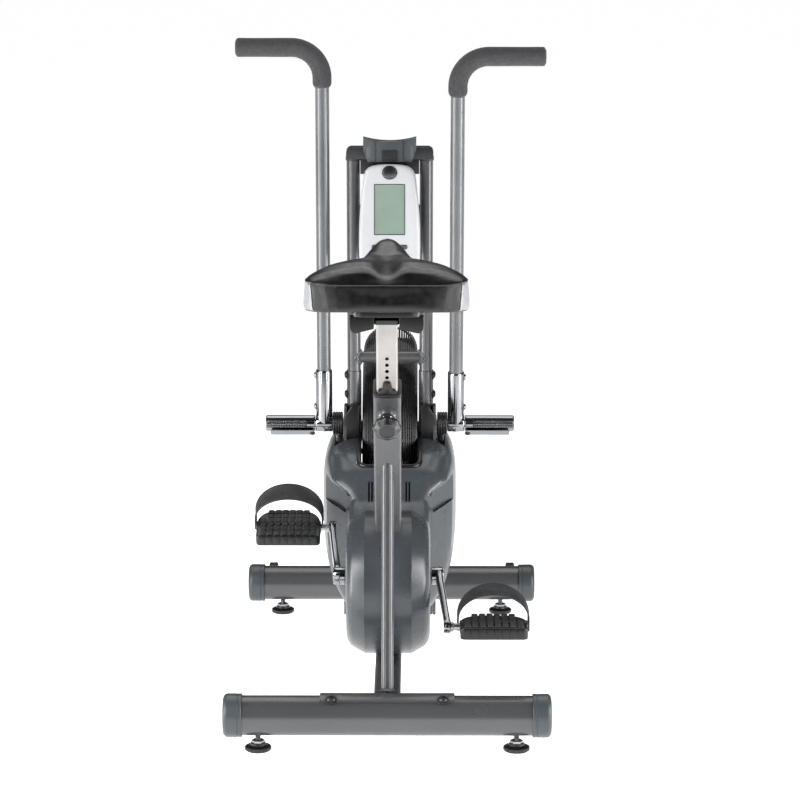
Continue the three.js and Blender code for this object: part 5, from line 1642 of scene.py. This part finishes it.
def belt_loop():
    """The belt's run: round the crank's pulley, along both straights, round the fan's pulley."""
    span = FAN_AT - CRANK_AT
    heading = degrees(atan2(span.z, span.y))
    wrap = degrees(acos(0.048 / span.length))
    path = arc((CRANK_AT.y, CRANK_AT.z), 0.0665, heading + wrap, heading + 360 - wrap, 60)
    path += arc((FAN_AT.y, FAN_AT.z), 0.0185, heading - wrap, heading + wrap, 24)
    section = [(-BELT_HALF, -BELT_THIN), (BELT_HALF, -BELT_THIN),
               (BELT_HALF, BELT_THIN), (-BELT_HALF, BELT_THIN)]
    rings = []
    for i, (y, z) in enumerate(path):
        before, after = path[i - 1], path[(i + 1) % len(path)]
        run = Vector((after[0] - before[0], after[1] - before[1])).normalized()
        normal = Vector((run.y, -run.x))
        rings.append([(BELT_X + a, y + normal.x * b, z + normal.y * b) for a, b in section])
    return loft(rings + rings[:1], capped=False)


def connecting_rod(side_name, side):
    """A flat steel link, joggled inwards past the pulley, with its pin at the lever's end."""
    place = leaning(Vector((0, *pivot(f"rod_{side_name}_swing").yz)), radians(17))
    outer, inner = 0.0947, 0.0705
    stations = [(0.0120, outer, 0.004), (0.0105, outer, 0.0075), (0.0, outer, 0.0085), (-0.094, outer, 0.0080),
                (-0.150, inner, 0.0080), (-0.358, inner, 0.0080), (-0.360, inner, 0.0070)]
    rings = []
    for y, x, deep in stations:
        x0, x1 = side * x, side * (x + 0.005)
        rings.append([(x0, y, -deep), (x1, y, -deep), (x1, y, deep), (x0, y, deep)])
    shape = Shape(place).add(loft(rings))
    shape.add(across(rod(0.0047, side * outer, side * 0.1088), 32))
    node = f"connecting_rod_{side_name}"
    shape.piece(f"link_{side_name}", f"rod_{side_name}", ["steel"], [node], bevel=0.0005)


# ---- Saddle ----
SADDLE_BASE = 0.832
SADDLE_SEAM, PANEL_FRONT, SIDE_FRONT, SIDE_LOW = 0.8870, 0.0985, 0.128, 0.8370
SADDLE_STATIONS = [
    # forward, half width at the seam, width below it, lowest, seam height, highest, channel
    (-0.1180, 0.0700, 0.955, 0.8370, 0.8850, 0.8870, 0.0),
    (-0.1163, 0.0900, 0.950, 0.8362, 0.8855, 0.8890, 0.001),
    (-0.1122, 0.1090, 0.945, 0.8352, 0.8860, 0.8925, 0.003),
    (-0.1060, 0.1250, 0.950, 0.8340, 0.8867, 0.8975, 0.006),
    (-0.0975, 0.1380, 0.970, 0.8328, 0.8872, 0.9040, 0.011),
    (-0.0800, 0.1460, 1.010, 0.8320, 0.8880, 0.9125, 0.016),
    (-0.0500, 0.1462, 1.035, 0.8320, 0.8890, 0.9200, 0.020),
    (-0.0200, 0.1380, 1.045, 0.8320, 0.8890, 0.9210, 0.018),
    (0.0100, 0.1210, 1.045, 0.8320, 0.8900, 0.9180, 0.013),
    (0.0400, 0.0970, 1.050, 0.8330, 0.8900, 0.9145, 0.008),
    (0.0700, 0.0740, 1.050, 0.8360, 0.8910, 0.9165, 0.004),
    (0.1000, 0.0570, 1.040, 0.8410, 0.8930, 0.9235, 0.001),
    (0.1300, 0.0465, 1.020, 0.8480, 0.8960, 0.9320, 0.0),
    (0.1520, 0.0360, 1.000, 0.8570, 0.8990, 0.9345, 0.0),
    (0.1640, 0.0250, 1.000, 0.8680, 0.9000, 0.9300, 0.0),
    (0.1700, 0.0120, 1.000, 0.8820, 0.9010, 0.9190, 0.0),
]


def saddle_section(half, skirt, low, seam, high, channel):
    """A section of the saddle: a crowned top with a channel, a sharp seam, sides that flare, a flat base."""
    top = []
    for i in range(33):
        u = 1 - i / 16
        crown = (1 - abs(u) ** 2.3) ** 0.85
        top.append((half * u, seam + (high - seam) * crown - channel * exp(-(half * u / 0.022) ** 2)))
    side = [(half * (1 + (skirt - 1) * t ** 0.8), seam - (seam - low - 0.004) * t)
            for t in (0.25, 0.5, 0.75, 1.0)]
    base = [(half * skirt - 0.004, low)]
    return top + [(-x, z) for x, z in side + base] + (side + base)[::-1]


def saddle_form(shrink):
    rings = []
    for forward, half, skirt, low, seam, high, channel in SADDLE_STATIONS:
        ring = saddle_section(half - shrink, skirt, low + shrink * 0.4, seam, high - shrink, channel)
        rings += along_y(ring, REAR_AXIS.y + forward)
    return loft(rings)


def inflate(obj):
    """Stretches the cover over its foam: pressure from inside, and no point may move far."""
    start = [v.co.copy() for v in obj.data.vertices]
    base = obj.vertex_groups.new(name="base")
    base.add([v.index for v in obj.data.vertices if v.co.z < SADDLE_BASE + 0.012], 1.0, "REPLACE")
    cloth = obj.modifiers.new("cloth", "CLOTH")
    cloth.settings.quality = 4
    cloth.settings.tension_stiffness = 25
    cloth.settings.bending_stiffness = 1.5
    cloth.settings.use_pressure = True
    cloth.settings.uniform_pressure_force = 4
    cloth.settings.effector_weights.gravity = 0
    cloth.settings.vertex_group_mass = "base"
    scene = bpy.context.scene
    for step in range(1, 21):
        scene.frame_set(step)
    puffed = obj.evaluated_get(bpy.context.evaluated_depsgraph_get()).data
    moved = [v.co.copy() for v in puffed.vertices]
    obj.modifiers.remove(cloth)
    most = 0.0030
    for vertex, before, after in zip(obj.data.vertices, start, moved):
        step = after - before
        vertex.co = before + step * min(1, most / max(step.length, 1e-9))
    scene.frame_set(1)


def saddle():
    """The padded saddle: black vinyl over foam, silver side panels, seams and piping."""
    pad = Shape().add(saddle_form(0.0022)).mesh("saddle_pad", [])
    remesh = pad.modifiers.new("remesh", "REMESH")
    remesh.mode, remesh.voxel_size = "VOXEL", 0.004
    bake(pad)
    inflate(pad)
    for name in ("vinyl", "silver_vinyl"):
        pad.data.materials.append(MATERIAL[name])
    smooth = pad.modifiers.new("smooth", "SMOOTH")
    smooth.factor, smooth.iterations = 0.5, 2
    finer = pad.modifiers.new("finer", "SUBSURF")
    finer.levels = finer.render_levels = 1
    bake(pad)
    part_silver(pad)
    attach(pad, "seat")
    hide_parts("saddle")
    saddle_piping(pad)


def part_silver(pad):
    """Cuts clean edges where the silver side panels end, and gives their faces the silver vinyl."""
    mesh = bmesh.new()
    mesh.from_mesh(pad.data)
    rear, front = REAR_AXIS.y - PANEL_FRONT, REAR_AXIS.y + SIDE_FRONT
    for at, normal in ((rear * Y, Y), (front * Y, Y), (SADDLE_SEAM * Z, Z), (SIDE_LOW * Z, Z)):
        whole = mesh.verts[:] + mesh.edges[:] + mesh.faces[:]
        bmesh.ops.bisect_plane(mesh, geom=whole, dist=1e-6, plane_co=at, plane_no=normal)
    for face in mesh.faces:
        centre = face.calc_center_median()
        side = rear < centre.y < front and SIDE_LOW < centre.z < SADDLE_SEAM
        face.material_index = 1 if side else 0
        face.smooth = True
    mesh.to_mesh(pad.data)
    mesh.free()


def saddle_piping(pad):
    """Corded seams: along the rear panel's top, down its corners, and along the sides."""
    tree = surface_of(pad)
    runs = [[nearest(tree, Vector((0.1375 * (1 - i / 24), REAR_AXIS.y - 0.3, 0.8838)), Y) for i in range(49)]]
    rear = REAR_AXIS.y - PANEL_FRONT
    for side in SIDES.values():
        corner = [(side * 0.3, rear, SADDLE_SEAM - 0.0485 * i / 16) for i in range(17)]
        edge = [(side * 0.3, rear + (PANEL_FRONT + SIDE_FRONT) * i / 48, SADDLE_SEAM) for i in range(49)]
        for starts in (corner, edge):
            runs.append([nearest(tree, Vector(start), -side * X) for start in starts])
    shape = Shape()
    for run in runs:
        path = [p for p in run if p]
        shape.add(tube(path, 0.0011, 10))
    shape.piece("saddle_seams", "seat", ["thread"], slot="saddle")


def surface_of(obj):
    points, faces = obj.data.vertices, obj.data.polygons
    return BVHTree.FromPolygons([v.co for v in points], [list(f.vertices) for f in faces])


def nearest(tree, start, heading):
    """The point where a ray from start meets the surface."""
    return tree.ray_cast(start, heading)[0]


def saddle_pan():
    """The black base under the saddle: a plate, a clamp on the post, its bolt and two wings."""
    high = Vector(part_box("saddle_pan")[1])
    shape = Shape()
    plate = rounded(0.132, 0.104, 0.026, (0, REAR_AXIS.y - 0.017), 8)
    shape.add(slab(plate, high.z - 0.0117, high.z))
    top = (SEAT.inverted() @ Vector((0, REAR_AXIS.y, high.z))).z
    shape.add(square_tube(0.046, 0.005, POST_END + 0.0004, top - 0.002), SEAT)
    shape.add(across(rod(0.0065, -0.027, 0.027), 24),
              SEAT @ Matrix.Translation((0, -0.004, POST_TOP + 0.014)), 1)
    for side in SIDES.values():
        wing = [(0.0225, 0.8225), (0.066, 0.8225), (0.0665, 0.806), (0.0655, 0.7985),
                (0.0620, 0.7925), (0.0570, 0.7902), (0.0500, 0.7915), (0.0225, 0.7985)]
        shape.add(in_y(slab(mirrored_x(wing, side), -REAR_AXIS.y - 0.006, -REAR_AXIS.y + 0.062)))
    shape.piece("pan", "seat", ["black", "zinc"], ["saddle_pan"], bevel=0.0012)


def make_drive():
    drive()
    for side_name, side in SIDES.items():
        crank_arm(side_name, side)
        pedal(side_name, side)
        pedal_strap(side_name, side)
        connecting_rod(side_name, side)


def make_saddle():
    saddle_pan()
    saddle()


make_floor()
make_world()
softbox("key", (-2.8, -3.0, 2.6), (0, 0, 0.6), 2.0, 2.5, 130)
softbox("fill", (3.0, -2.6, 2.0), (0, 0, 0.5), 2.0, 2.5, 75)
softbox("top", (0, 1.5, 3.4), (0, 0, 0.4), 2.8, 2.4, 45)
for side in (-1, 1):
    softbox("strip", (side * 1.8, -0.7, 0.45), (0, -0.3, 0.45), 0.5, 1.6, 34)
    softbox("low", (side * 2.4, -3.0, 0.3), (0, -0.4, 0.6), 0.35, 0.8, 12)
make_camera()
bpy.context.scene.view_settings.view_transform = "Standard"
make_base()
make_seat_column()
make_cover()
make_upper()
make_drive()
make_saddle()
